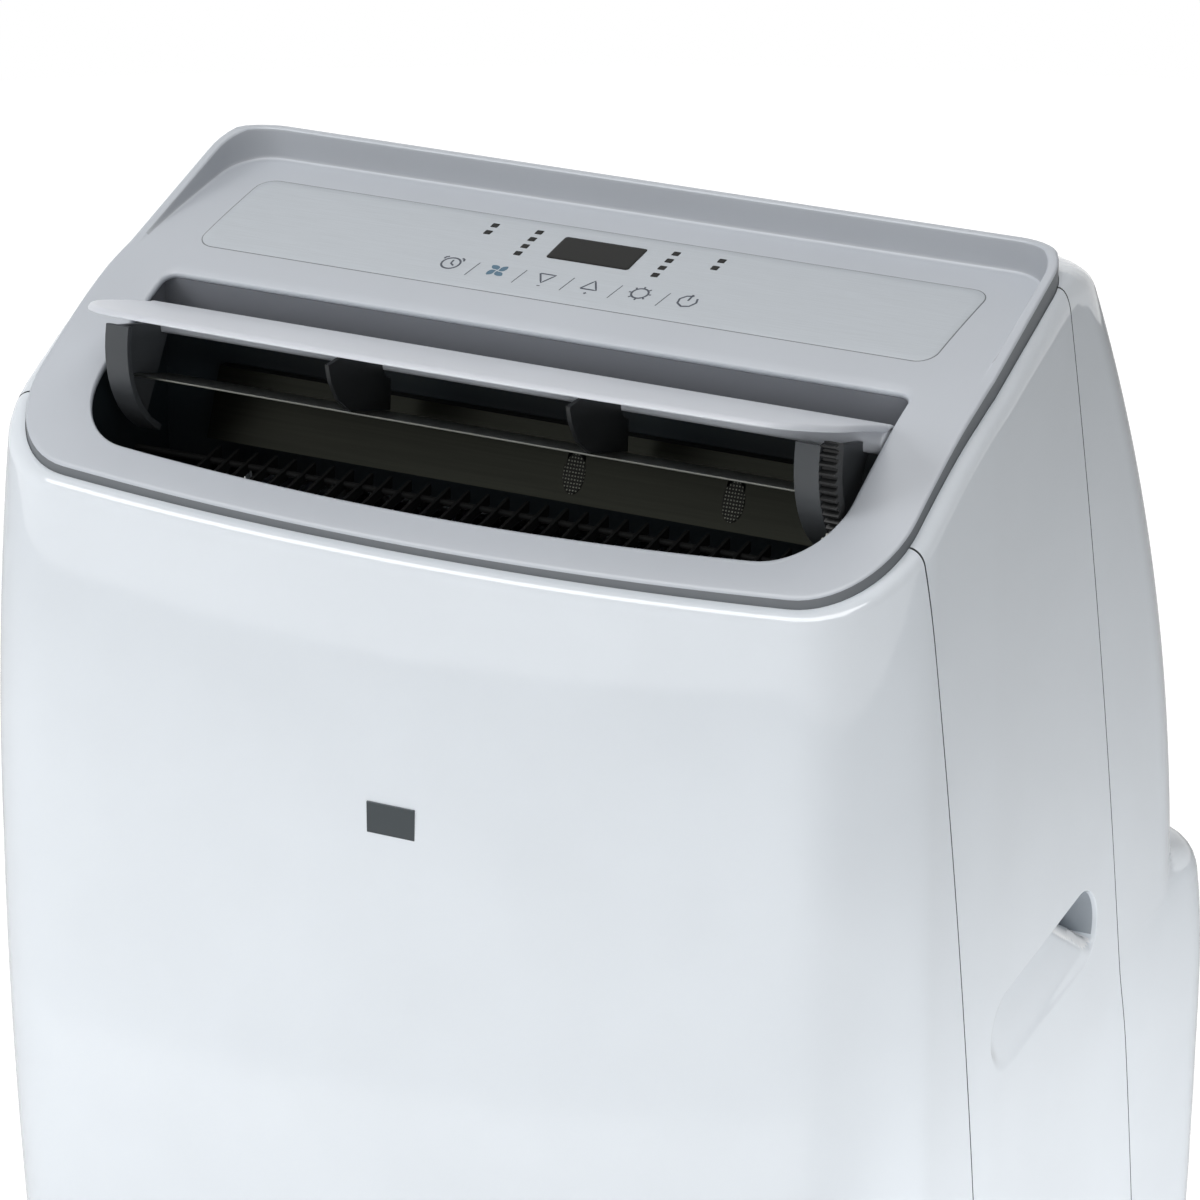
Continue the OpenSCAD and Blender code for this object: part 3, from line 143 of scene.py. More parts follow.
@dataclass(frozen=True)
class Finish:
    """One finish: what the material is, and how its surface was made.

    Attributes:
        name: The finish's name.
        colour: Its sRGB colour.
        surface: How the surface was made.
        roughness: Mean roughness, which varies slowly by up to 0.04 over the surface.
        metallic: 1 for a bare metal.
        grain_mm: Size of the pattern's grain.
        relief_mm: Height of the pattern.
        variation: How much the colour varies over the pattern.
        coat: Weight of a clear glossy layer.
        ior: Refractive index.
        along: Axis that brushing runs along.
        below: Colour under split_mm, or an empty text.
        split_mm: Height above the floor where the colour changes.
    """

    name: str
    colour: str
    surface: Surface = Surface.MOULDED
    roughness: float = 0.4
    metallic: float = 0.0
    grain_mm: float = 1.2
    relief_mm: float = 0.02
    variation: float = 0.015
    coat: float = 0.0
    ior: float = 1.5
    along: int = 0
    below: str = ""
    split_mm: float = 0.0

    def material(self) -> bpy.types.Material:
        """Builds the material once, and finds it again each time after.

        Returns:
            The material.
        """
        found = bpy.data.materials.get(self.name)
        if found:
            return found
        made = bpy.data.materials.new(self.name)
        tree = clear_tree(made)
        place = add_node(tree, "ShaderNodeTexCoord", {}, {}).outputs["Object"]
        grain = self._grain(tree, place)
        broad = add_node(tree, "ShaderNodeTexNoise",
                         {"Scale": 1 / (BLOTCH_MM * MM), "Detail": 2.0},
                         {"Vector": place}).outputs["Fac"]
        spread = min(0.04, self.roughness / 3)
        rough = add_node(tree, "ShaderNodeMapRange",
                         {"To Min": self.roughness - spread, "To Max": self.roughness + spread},
                         {"Value": broad})
        bump = add_node(tree, "ShaderNodeBump",
                        {"Distance": self.relief_mm * MM, "Strength": 1.0}, {"Height": grain})
        shader = add_node(tree, "ShaderNodeBsdfPrincipled",
                          {"Metallic": self.metallic, "IOR": self.ior, "Coat Weight": self.coat,
                           "Coat Roughness": 0.12},
                          {"Base Color": self._colour(tree, place, grain, broad),
                           "Roughness": rough.outputs["Result"], "Normal": bump.outputs["Normal"]})
        add_node(tree, "ShaderNodeOutputMaterial", {}, {"Surface": shader.outputs["BSDF"]})
        return made

    def _grain(self, tree: Tree, place: Socket) -> Socket:
        """Draws the surface's relief: crossed waves for a weave, or else a noise.

        Args:
            tree: The material's node tree.
            place: Object coordinates.

        Returns:
            The relief's height, from 0 to 1.
        """
        fine = 1 / (self.grain_mm * MM)
        if self.surface is Surface.WOVEN:
            both = add_node(tree, "ShaderNodeMath", {"operation": "MULTIPLY"}, {})
            for i, axis in enumerate("XZ"):
                wave = add_node(tree, "ShaderNodeTexWave",
                                {"wave_type": "BANDS", "bands_direction": axis,
                                 "Scale": fine / WAVE_RATIO}, {"Vector": place})
                tree.links.new(wave.outputs["Fac"], both.inputs[i])
            return both.outputs["Value"]
        stretch = [1.0, 1.0, 1.0]
        if self.surface is Surface.BRUSHED:
            stretch[self.along] = STREAK
        drawn = add_node(tree, "ShaderNodeMapping", {"Scale": stretch}, {"Vector": place})
        detail = 6.0 if self.surface is Surface.CAST else 3.0
        noise = add_node(tree, "ShaderNodeTexNoise",
                         {"Scale": fine, "Detail": detail, "Roughness": 0.6},
                         {"Vector": drawn.outputs["Vector"]})
        return noise.outputs["Fac"]

    def _colour(self, tree: Tree, place: Socket, grain: Socket, broad: Socket) -> Socket:
        """Draws the colour: two that meet at a height, or one that varies with the pattern.

        Args:
            tree: The material's node tree.
            place: Object coordinates.
            grain: The relief's height.
            broad: The slow unevenness.

        Returns:
            The colour.
        """
        base = linear(self.colour)
        if self.below:
            height = add_node(tree, "ShaderNodeSeparateXYZ", {}, {"Vector": place}).outputs["Z"]
            ends = {"From Min": (self.split_mm - 2) * MM, "From Max": (self.split_mm + 2) * MM}
            above = add_node(tree, "ShaderNodeMapRange", ends, {"Value": height})
            # Inputs 6 and 7 are this node's two colours, and output 2 is their mix
            mix = add_node(tree, "ShaderNodeMix",
                           {"data_type": "RGBA", 6: linear(self.below), 7: base},
                           {"Factor": above.outputs["Result"]})
            return mix.outputs[2]
        source = grain if self.surface in (Surface.BRUSHED, Surface.WOVEN) else broad
        ramp = add_node(tree, "ShaderNodeValToRGB", {}, {"Fac": source})
        for stop, place_on, sign in zip(ramp.color_ramp.elements, (0.3, 0.7), (-1, 1)):
            stop.position = place_on
            stop.color = [min(1.0, c * (1 + sign * self.variation)) for c in base[:3]] + [1.0]
        return ramp.outputs["Color"]


# Most grains of up to 1.5 mm, on moulded, painted, brushed, woven and rubber surfaces, stand for
# finer ones: they are drawn coarser so that they show at all

# High-impact polystyrene: smooth and glossy, with the faint waviness of a large moulding
WHITE_SHELL = Finish("white_styrene", "#e1e7ed", roughness=0.045, grain_mm=14, relief_mm=0.002,
                     ior=1.59)
# The same styrene in the depth of the grips, drawn darker as painted shade
POCKET_SHADE = replace(WHITE_SHELL, name="pocket_painted_shade", colour="#a4abb2", roughness=0.12)
# The same styrene on the grips' bevelled edge, drawn lighter as a painted highlight where it
# catches the light
BEVEL_GLEAM = replace(WHITE_SHELL, name="bevel_painted_highlight", colour="#f6f8fa")
# Painted shade on the panels' cut edges and insides, which are the same white styrene: they show as
# thin dark seams
SEAM_SHADE = Finish("seam_painted_shade", "#54585c", roughness=0.6, relief_mm=0.0)
# Satin silver paint on ABS: soft broad highlights, and flakes drawn coarser than they are
SILVER_DECK = Finish("silver_painted_abs", "#babfc6", roughness=0.4, grain_mm=0.5,
                     relief_mm=0.008)
# The same paint in the rim's shade, drawn a step darker
RIM_WALL = replace(SILVER_DECK, name="rim_wall_paint", colour="#a2a6ac", roughness=0.45)
# The deck's sunken edge: a dull grey line, darker than the deck's paint
GREY_LIP = Finish("grey_abs", "#6c7074", roughness=0.5, grain_mm=0.6, relief_mm=0.01)
# Printed polycarbonate film: fine streaks like brushed metal, drawn coarse enough to show
BRUSHED_FILM = Finish("brushed_film", "#bac0c6", Surface.BRUSHED, roughness=0.38,
                      grain_mm=0.45, relief_mm=0.004, variation=0.05)
# Smoked acrylic with a matt hard coat: near black, with hardly a reflection
SMOKED_ACRYLIC = Finish("smoked_acrylic", "#0b0c09", Surface.POLISHED, roughness=0.25,
                        relief_mm=0.0, ior=1.2)
# Screen-printed inks: matt and flat on the film
INK = Finish("grey_ink", "#343b48", roughness=0.6, relief_mm=0.0)
BLUE_INK = replace(INK, name="blue_ink", colour="#3c6278")
# Satin silver paint on the flap, drawn a touch lighter than the deck's: painted light, for the
# light that the open flap catches
SILVER_FLAP = replace(SILVER_DECK, name="silver_painted_flap", colour="#ced2d9")
# Moulded ABS with a fine spark-eroded texture, which softens its highlights
GREY_ABS = Finish("mid_grey_abs", "#45484b", roughness=0.45, grain_mm=0.8, relief_mm=0.012)
# ABS duct: grey at its mouth, and below 700 mm painted dark as the shade deep in the outlet
DUCT = Finish("duct_abs", "#6c6f75", roughness=0.5, below="#1a2125", split_mm=700)
# Rolled steel under a dark clear coat: long faint streaks and a warm gleam
DARK_LINER = Finish("dark_coated_steel", "#22231e", Surface.BRUSHED, roughness=0.3,
                    metallic=0.9, grain_mm=1.5, relief_mm=0.004, variation=0.12)
# The vane's grey plastic, drawn as bright polished metal for a painted highlight: a bright thin
# line
VANE_GLINT = Finish("vane_painted_highlight", "#8a8c86", Surface.POLISHED, roughness=0.35, metallic=1.0)
# Moulded black ABS: dull, with a soft edge light
BLACK_ABS = Finish("black_abs", "#0d0e0f", roughness=0.5)
# Eroded black ABS of the guard: almost no sheen in the depth of the outlet
GUARD_ABS = Finish("rough_black_abs", "#060707", roughness=0.75, grain_mm=0.8, ior=1.3)
# Woven steel net over the sensor holes: a fine chequer of dark gaps, drawn coarser
SENSOR_NET = Finish("sensor_net", "#6a6c64", Surface.WOVEN, roughness=0.5, metallic=0.6,
                    grain_mm=1.5, relief_mm=0.3, variation=0.9)
# Brushed steel plate: a dark bare rectangle with level streaks
BADGE_STEEL = Finish("brushed_badge", "#5a6168", Surface.BRUSHED, roughness=0.34,
                     metallic=0.85, grain_mm=0.3, relief_mm=0.005, variation=0.1)
# Moulded polystyrene foam: matt, with its beads drawn as a low relief
FOAM = Finish("moulded_foam", "#dcdedd", Surface.CAST, roughness=0.8, grain_mm=2.5,
              relief_mm=0.15)
# Moulded nylon: waxy and slightly yellow
NYLON = Finish("natural_nylon", "#dcdcd2", roughness=0.4)
# Hot-dipped zinc: large soft spangles
GALVANISED = Finish("galvanised_sheet", "#a9adb0", Surface.CAST, roughness=0.38, metallic=1.0,
                    grain_mm=12, relief_mm=0.01, variation=0.1)
# Rolled aluminium fins: upright streaks and a cool sheen
ALUMINIUM = Finish("mill_aluminium", "#c9cccf", Surface.BRUSHED, roughness=0.32, metallic=1.0,
                   grain_mm=0.5, relief_mm=0.006, variation=0.05, along=2)
# Drawn copper tube: smooth, warm and bright
COPPER = Finish("drawn_copper", "#b8704a", Surface.POLISHED, roughness=0.28, metallic=1.0)
# Dipped enamel on cast steel: glossy, with a slight orange peel
ENAMEL = Finish("black_enamel", "#121212", Surface.CAST, roughness=0.3, grain_mm=1.5,
                relief_mm=0.03, coat=0.3)
# Moulded rubber: matt and almost black, with its texture drawn coarser
RUBBER = Finish("moulded_rubber", "#1a1a1b", Surface.CAST, roughness=0.7, grain_mm=0.8,
                ior=1.52)
# Grey tread rubber, scuffed to a lighter and rougher face
TREAD = Finish("tread_rubber", "#3a3c3e", Surface.CAST, roughness=0.62, grain_mm=0.8,
               relief_mm=0.03)
# Solder mask on glass fibre: an even satin green
CIRCUIT = Finish("solder_mask", "#1c4a2c", roughness=0.4)
# Woven nylon net of the filters: dark, with its threads drawn 1.4 mm apart so that they show
NET = Finish("woven_net", "#3b3d40", Surface.WOVEN, roughness=0.8, grain_mm=1.4,
             relief_mm=0.25, variation=0.35)
# Dark ABS ribs under the flap, in the shade of the outlet
DARK_ABS = Finish("dark_abs", "#1b1d1e", roughness=0.42)
# Dark grey ABS of the base: textured and dull
DARK_PAN = Finish("dark_grey_abs", "#3c3f42", roughness=0.5, grain_mm=1.0, relief_mm=0.02)


# ---------------------------------------------------------------- mesh helpers


def ease(t: Array) -> Array:
    """Smooth step from 0 to 1 with flat ends: 3 t squared less 2 t cubed."""
    t = np.clip(t, 0.0, 1.0)
    return t * t * (3 - 2 * t)


def softer_max(a: Array, b: Array, width: float = 0.8) -> Array:
    """The larger value, rounded over: half of a + b + the root of (a - b)^2 + width^2."""
    return 0.5 * (a + b + np.sqrt((a - b) ** 2 + width * width))


def arc(cx: float, cy: float, r: float, a0: float, a1: float, n: int) -> Array:
    """n + 1 points on a circle round (cx, cy) from angle a0 to a1, in radians."""
    a = np.linspace(a0, a1, n + 1)
    return np.stack([cx + r * np.cos(a), cy + r * np.sin(a)], axis=1)


def ticks(breaks: Sequence[float], step: float) -> Array:
    """Every break, with evenly spaced values between them.

    Args:
        breaks: Values that the result holds.
        step: Largest distance between two values.

    Returns:
        The values, in order.
    """
    b = sorted(set(breaks))
    runs = [np.linspace(p, q, max(1, math.ceil((q - p) / step)), endpoint=False)
            for p, q in zip(b, b[1:])]
    return np.concatenate([*runs, b[-1:]])


def mirror_x(points: Array) -> Array:
    """Points on the other side of the middle, in reverse order along the first axis."""
    return points[::-1] * np.array([-1] + [1] * (points.shape[-1] - 1))


def normals(path: Array, closed: bool = True) -> Array:
    """Unit normals of a plane path: its direction turned by a quarter to the right.

    Args:
        path: Points, N by 2. Normals of a closed anticlockwise loop point outwards.
        closed: Whether the last point joins the first.

    Returns:
        The normals, N by 2.
    """
    step = np.gradient(path, axis=0)
    if closed:
        step = np.roll(path, -1, axis=0) - np.roll(path, 1, axis=0)
    turned = np.stack([step[:, 1], -step[:, 0]], axis=1)
    return turned / np.linalg.norm(turned, axis=1, keepdims=True)


def travelled(path: Array) -> Array:
    """Distance from a path's start to each of its points, along the path."""
    return np.concatenate([[0], np.cumsum(np.linalg.norm(np.diff(path, axis=0), axis=1))])


def with_z(xy: Array, z: Array) -> Array:
    """Points from plan points and their heights."""
    return np.concatenate([xy, z[..., None]], axis=-1)


def ring_between(outer: Array, inner: Array, rows: int) -> Array:
    """Loops that blend evenly from an outer loop to an inner one, both in a plane."""
    w = np.linspace(0, 1, rows + 1)[:, None, None]
    return outer[None] * (1 - w) + inner[None] * w


def block_border(a: Array, b: Array, cell: tuple[int, int, int, int]) -> Array:
    """Border of a block of grid cells as a closed plane loop, anticlockwise.

    Args:
        a: First coordinate at each column.
        b: Second coordinate at each row.
        cell: First and last row, first and last column.

    Returns:
        The loop's points.
    """
    r0, r1, c0, c1 = cell
    low = [(a[c], b[r0]) for c in range(c0, c1)]
    right = [(a[c1], b[r]) for r in range(r0, r1)]
    high = [(a[c], b[r1]) for c in range(c1, c0, -1)]
    left = [(a[c0], b[r]) for r in range(r1, r0, -1)]
    return np.array(low + right + high + left, float)


@contextmanager
def edited(mesh: bpy.types.Mesh) -> Iterator[bmesh.types.BMesh]:
    """Opens a mesh for editing, and writes it back at the end.

    Args:
        mesh: The mesh.

    Yields:
        The mesh as a bmesh.
    """
    work = bmesh.new()
    work.from_mesh(mesh)
    yield work
    work.to_mesh(mesh)
    work.free()


@dataclass
class MeshParts:
    """Grids of points that become one mesh.

    Attributes:
        points: Lists of points, in millimetres.
        faces: Corner indices of the faces.
        slots: Material index of each face.
        count: Number of points so far.
    """

    points: list[Array] = field(default_factory=list)
    faces: list[Array] = field(default_factory=list)
    slots: list[Array] = field(default_factory=list)
    count: int = 0

    def add_grid(self, grid: Array, wrap: bool = False, keep: Array | None = None,
                 slot: int | Array = 0) -> None:
        """Adds a grid of quads: rows along the first axis, columns along the second.

        Args:
            grid: Points as rows by columns by three.
            wrap: Whether the last column joins the first.
            keep: Which of the cells are kept, or None for all.
            slot: Material index: one for all, or one for each cell.
        """
        rows, cols = grid.shape[:2]
        i = np.arange(rows - 1)[:, None] * cols
        j = np.arange(cols if wrap else cols - 1)[None, :]
        k = (j + 1) % cols
        quad = np.stack([i + j, i + k, i + cols + k, i + cols + j], axis=-1)
        mask = np.ones(quad.shape[:2], bool) if keep is None else keep
        self.faces.append(quad[mask] + self.count)
        self.slots.append(np.broadcast_to(slot, quad.shape[:2])[mask])
        self.points.append(grid.reshape(-1, 3))
        self.count += rows * cols

    def build(self, name: str, finishes: Sequence[Finish],
              inside: Vector | None = None) -> Piece:
        """Writes the mesh in metres, merges its doubles and turns its faces outwards.

        Args:
            name: The piece's name.
            finishes: One finish for each material index.
            inside: A point in millimetres that an open shell faces away from.

        Returns:
            The new object, with smooth faces.
        """
        mesh = bpy.data.meshes.new(name)
        quads = np.concatenate(self.faces)
        mesh.from_pydata((np.concatenate(self.points) * MM).tolist(), [], quads.tolist())
        kinds = np.concatenate(self.slots).astype(np.int32)
        mesh.polygons.foreach_set("material_index", kinds)
        with edited(mesh) as work:
            bmesh.ops.remove_doubles(work, verts=work.verts, dist=MERGE_MM * MM)
            slivers = [f for f in work.faces if f.calc_area() < SLIVER_M2]
            bmesh.ops.delete(work, geom=slivers, context="FACES")
            bmesh.ops.recalc_face_normals(work, faces=work.faces)
            if inside is not None:
                away = sum(f.normal.dot(f.calc_center_median() - inside * MM) * f.calc_area()
                           for f in work.faces)
                if away < 0:
                    bmesh.ops.reverse_faces(work, faces=work.faces)
        mesh.polygons.foreach_set("use_smooth", np.ones(len(mesh.polygons), bool))
        for finish in finishes:
            mesh.materials.append(finish.material())
        return add_piece(name, mesh)


def add_piece(name: str, mesh: bpy.types.Mesh) -> Piece:
    """Puts a mesh into the scene as an object at the origin."""
    made = bpy.data.objects.new(name, mesh)
    bpy.context.scene.collection.objects.link(made)
    return made


def thicken(piece: Piece, wall: float, inner_slot: int) -> None:
    """Gives an open shell its wall, inwards, with painted shade for its inside and cut edges.

    Args:
        piece: The open shell.
        wall: The wall's thickness in millimetres.
        inner_slot: Material index of the painted shade on the inside and the cut edges.
    """
    solid = piece.modifiers.new("wall", "SOLIDIFY")
    solid.material_offset = inner_slot
    solid.material_offset_rim = inner_slot
    solid.thickness = wall * MM
    solid.offset = -1.0


def soften(piece: Piece, width: float, degrees: float) -> None:
    """Rounds a piece's sharp edges and evens out its shading.

    Args:
        piece: The object.
        width: Width of the rounding in millimetres.
        degrees: Edges sharper than this are rounded.
    """
    bevel = piece.modifiers.new("edges", "BEVEL")
    bevel.width = width * MM
    bevel.segments = 2
    bevel.limit_method = "ANGLE"
    bevel.angle_limit = math.radians(degrees)
    bevel.use_clamp_overlap = True
    piece.modifiers.new("shading", "WEIGHTED_NORMAL").keep_sharp = True


def publish(piece: Piece, body: str, nodes: Sequence[str]) -> None:
    """Lets a piece ride on its body and stand for its CAD nodes.

    Args:
        piece: The finished object.
        body: Name of the body that it moves with.
        nodes: CAD nodes that it replaces.
    """
    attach(piece, body)
    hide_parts(*nodes)
    LOG.info("%s rides on %s and stands for %s", piece.name, body, ", ".join(nodes))


def dressed_copy(node: str, body: str, finish: Finish, round_mm: float) -> None:
    """A copy of a CAD node with joined faces, softly rounded edges and a finish.

    Args:
        node: The CAD node.
        body: Body that it rides on.
        finish: Its finish.
        round_mm: Width of the rounding.
    """
    mesh = bpy.data.objects[node].data.copy()
    mesh.materials.clear()
    with edited(mesh) as work:
        bmesh.ops.remove_doubles(work, verts=work.verts, dist=CAD_MERGE_MM * MM)
        bmesh.ops.dissolve_limit(work, angle_limit=math.radians(FLAT_DEGREES),
                                 verts=work.verts, edges=work.edges)
        for face in work.faces:
            face.smooth = True
    mesh.materials.append(finish.material())
    piece = add_piece(node + "_part", mesh)
    soften(piece, round_mm, 32)
    publish(piece, body, [node])


# ---------------------------------------------------------------- the cabinet's form


@dataclass(frozen=True)
class CabinetForm:
    """Outline of the cabinet at every height, from its overall sizes."""

    body_w: float  # overall width
    body_h: float  # height of the rim's top
    front_y: float  # y of the foremost line
    rear_y: float  # y of the rear bulge
    skirt_z: float  # height of the panels' lower edge
    widest: float = 0.562  # where the cabinet is widest, as a share of its height
    foremost: float = 0.62  # where its front stands furthest forward
    side_r: float = 5800.0  # radius of the sides, from below to above
    front_upper_r: float = 1509.0  # radius of the front above its foremost line
    front_lower_r: float = 3000.0  # and below it
    front_corner_r: float = 48.0  # plan radius of the front corners
    rear_corner_r: float = 50.0  # plan radius of the rear corners
    bow_r: float = 1700.0  # plan radius of the front
    top_bow_r: float = 2400.0  # and at the deck
    bow_fade: float = 74.0  # how far below the deck the front reaches that radius
    taper: float = 0.045  # how fast the sides draw in towards the rear
    taper_from: float = 123.5  # depth where they start to
    taper_soft: float = 8.0  # how gently they start to
    rear_slope_r: float = 593.0  # radius of the upper rear
    rear_slope_z: float = 400.0  # height where it starts to lean forward
    crown_r: float = 30.0  # radius of the top of the rear and sides
    crown_h: float = 25.0  # height over which they draw in
    bulge_step: float = 20.0  # how far the bulge stands out
    bulge_top: float = 439.0  # height of its top
    bulge_round: float = 20.0  # height of the rounding there
    bulge_in: float = 5.6  # how much narrower it is on each side
    bulge_draw: float = 6.0  # how far its sides draw in at its top, slowly and then fast
    bulge_flare: float = 75.0  # height over which they do
    bulge_corner_r: float = 34.0  # plan radius of its corners
    rim_rise: float = 41.0  # the rim's height over the middle of the deck's bend
    bend: float = 118.0  # depth of the deck's bend
    bend_lift: float = 8.2  # its height over deck_z0 without its rounding
    bend_soft: float = 44.2  # length of its rounding
    slope: float = 0.456  # mean of the deck's two slopes
    slope_half: float = 0.268  # half of their difference
    rim_from: float = 129.0  # depth where the rim leaves the deck
    rim_slope: float = 0.447  # the rim's slope from there
    deck_front: float = 17.0  # depth of the deck's front edge
    deck_rear: float = 232.0  # depth of its rear edge
    deck_front_r: float = 42.0  # plan radius of its front corners
    deck_rear_r: float = 28.0  # and of its rear corners
    deck_inset: float = 6.5  # how far it stays inside the cabinet
    deck_edge: float = 4.0  # height of its grey edge at the front
    edge_growth: float = 6.0  # how much more it is at the rear
    edge_power: float = 0.6  # how early it grows
    seam_gap: float = 0.8  # width of the seams
    # Each seam's depth, its lean, and the height over deck_z0 where it is at that depth
    front_line: tuple[float, float, float] = (55.6, 0.16, -38.0)
    rear_line: tuple[float, float, float] = (211.5, 0.19, 22.0)

    @classmethod
    def from_frame(cls) -> CabinetForm:
        """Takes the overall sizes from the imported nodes.

        Returns:
            The outline, with its other sizes as they are given here.
        """
        side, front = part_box("right_side_panel"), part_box("front_panel")
        sizes = (2 * side[1].x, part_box("top_deck")[1].z, front[0].y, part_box("rear_cover")[1].y,
                 front[0].z)
        return cls(*(round(size / MM, 1) for size in sizes))

    @property
    def deck_z0(self) -> float:
        """Height of the middle of the deck's bend."""
        return self.body_h - self.rim_rise

    def behind(self, depth: float) -> float:
        """Y at a depth behind the foremost line."""
        return self.front_y + depth

    def half_w(self, z: Array) -> Array:
        """Half width at height z: a slow arc."""
        return self.body_w / 2 - (z - self.widest * self.body_h) ** 2 / (2 * self.side_r)

    def front_at(self, z: Array) -> Array:
        """Y of the front's middle at height z: one arc above the foremost line, one below."""
        up = z - self.foremost * self.body_h
        return self.front_y + up**2 / (2 * np.where(up > 0, self.front_upper_r,
                                                    self.front_lower_r))

    def rear_at(self, z: Array) -> Array:
        """Y of the upper rear at height z: upright, then an arc that leans forward."""
        up = np.maximum(0, z - self.rear_slope_z)
        return self.rear_y - self.bulge_step - up**2 / (2 * self.rear_slope_r)

    def bow_at(self, z: Array) -> Array:
        """Plan radius of the front, which grows evenly towards the deck."""
        z0 = self.foremost * self.body_h
        f = np.clip((z - z0) / (self.deck_z0 - self.bow_fade - z0), 0, 1)
        return self.bow_r + (self.top_bow_r - self.bow_r) * f

    def crown(self, z: Array) -> Array:
        """How far the rear and sides draw in near the very top: an arc."""
        return np.maximum(0, z - (self.body_h - self.crown_h)) ** 2 / (2 * self.crown_r)

    def deck_z(self, y: Array) -> Array:
        """Height of the deck: two slopes joined by a bend, as a branch of a hyperbola."""
        d = y - self.behind(self.bend)
        return (self.deck_z0 + self.bend_lift + self.slope * d
                - self.slope_half * np.sqrt(d * d + self.bend_soft**2))

    def rim_z(self, y: Array) -> Array:
        """Height of the rim: the deck's front slope carried on straight, up to body_h."""
        d = y - self.behind(self.rim_from)
        line = np.maximum(self.deck_z(y), self.deck_z0 + self.rim_slope * d)
        return np.where(d < 0, self.deck_z(y), np.minimum(self.body_h, line))

    def lip_drop(self, y: Array) -> Array:
        """How far the white panels end below the rim: a power of the way to the rear."""
        f = (y - self.behind(self.deck_front)) / (self.deck_rear - self.deck_front)
        return self.deck_edge + self.edge_growth * np.clip(f, 0, None) ** self.edge_power

    def seam(self, line: tuple[float, float, float], z: Array) -> Array:
        """Y of a straight seam, front_line or rear_line, at height z."""
        depth, lean, over = line
        return self.behind(depth) + lean * (self.deck_z0 + over - z)

    def plan(self, hw: float, yf: float, yb: float, bow: float, rf: float, rr: float,
             draw: float, counts: Sequence[int] = (24, 14, 24, 10, 20)) -> Array:
        """Right half of a plan outline, from the front's middle to the rear's.

        It is a bow arc, a corner arc, a side that draws in, a corner arc and a line.

        Args:
            hw: Half width.
            yf: Y of the front's middle.
            yb: Y of the rear.
            bow: Radius of the front's bow.
            rf: Radius of the front corner.
            rr: Radius of the rear corner.
            draw: How fast the side draws in.
            counts: Steps in each of the five stretches.

        Returns:
            The points, N by 2.
        """
        cx = hw - rf
        cy = yf + bow - math.sqrt((bow - rf) ** 2 - cx * cx)
        a = math.atan2(cy - yf - bow, cx)
        taper_y = self.behind(self.taper_from)
        hr = hw - draw * max(0.0, yb - rr - taper_y)
        side_y = np.linspace(cy, yb - rr, counts[2] + 1)
        side = np.stack([hw - draw * np.maximum(0, side_y - taper_y), side_y], axis=1)
        back = np.linspace(hr - rr, 0, counts[4] + 1)
        return np.concatenate([
            arc(0, yf + bow, bow, -math.pi / 2, a, counts[0])[:-1],
            arc(cx, cy, rf, a, 0, counts[1])[:-1],
            side[:-1],
            arc(hr - rr, yb - rr, rr, 0, math.pi / 2, counts[3])[:-1],
            np.stack([back, np.full(len(back), yb)], axis=1),
        ])

    def cabinet_plan(self, z: float) -> Array:
        """Right half of the cabinet's outline at a height, finely stepped.

        Args:
            z: The height.

        Returns:
            The points, N by 2.
        """
        drawn = self.crown(z)
        return self.plan(float(self.half_w(z) - drawn), float(self.front_at(z)),
                         float(self.rear_at(z) - drawn), float(self.bow_at(z)),
                         self.front_corner_r, self.rear_corner_r, self.taper,
                         (60, 40, 60, 40, 30))

    def bulge_half_w(self, z: Array) -> Array:
        """Half width of the bulge: it draws in by a square and a twelfth power of the way up."""
        f = np.clip(1 - (self.bulge_top - z) / self.bulge_flare, 0, 1)
        return self.half_w(z) - self.bulge_in - self.bulge_draw * (f * f + f**12)

    def bulge_rear(self, z: Array) -> Array:
        """Y of the bulge's back, rounded over at its top by a quarter of an ellipse."""
        s = np.clip((z - self.bulge_top + self.bulge_round) / self.bulge_round, 0, 1)
        return self.rear_y - self.bulge_step * (1 - np.sqrt(1 - s * s))

    def rounded_back(self, x: Array, yb: Array, hw: Array, r: float) -> Array:
        """Y of a back face with round corners of radius r at half width hw."""
        over = np.clip(np.abs(x) - (hw - r), 0, r)
        return yb - r + np.sqrt(np.maximum(0, r * r - over * over))

    def back_y(self, x: Array, z: Array) -> Array:
        """Y of the rear at (x, z): the cabinet or the bulge, whichever stands further back.

        Args:
            x: Distances from the middle.
            z: Heights.

        Returns:
            The Y values.
        """
        yb = self.rear_at(z) - self.crown(z)
        drawn = self.taper * (yb - self.rear_corner_r - self.behind(self.taper_from))
        cabinet = self.rounded_back(x, yb, self.half_w(z) - self.crown(z) - drawn,
                                    self.rear_corner_r)
        bulge = self.rounded_back(x, self.bulge_rear(z), self.bulge_half_w(z),
                                  self.bulge_corner_r)
        return np.where(z < self.bulge_top, softer_max(cabinet, bulge), cabinet)

    def side_x(self, y: Array, z: Array) -> Array:
        """X of the right side at (y, z): a corner arc, the drawn-in side, or the bulge.

        Args:
            y: Places from front to rear.
            z: Heights.

        Returns:
            The X values.
        """
        rf, bow = self.front_corner_r, self.bow_at(z)
        cx = self.half_w(z) - self.crown(z) - rf
        cy = self.front_at(z) + bow - np.sqrt((bow - rf) ** 2 - cx * cx)
        over = np.clip(cy - y, 0, rf)
        back = y - self.behind(self.taper_from)
        drawn = self.taper * 0.5 * (back + np.sqrt(back * back + self.taper_soft**2))
        plain = cx + np.sqrt(rf * rf - over * over) - drawn
        return softer_max(plain, np.where(z < self.bulge_top, self.bulge_half_w(z), 0))

    def deck_loop(self) -> Array:
        """Plan loop of the deck's edge, anticlockwise from the front's middle.

        Returns:
            The closed loop's points.
        """
        return self.closed(self.plan(
            float(self.half_w(self.deck_z0)) - self.deck_inset, self.behind(self.deck_front),
            self.behind(self.deck_rear), self.top_bow_r, self.deck_front_r, self.deck_rear_r,
            self.taper))

    def closed(self, half: Array) -> Array:
        """A closed loop from a right half outline."""
        return np.concatenate([half, mirror_x(half)[1:-1]])


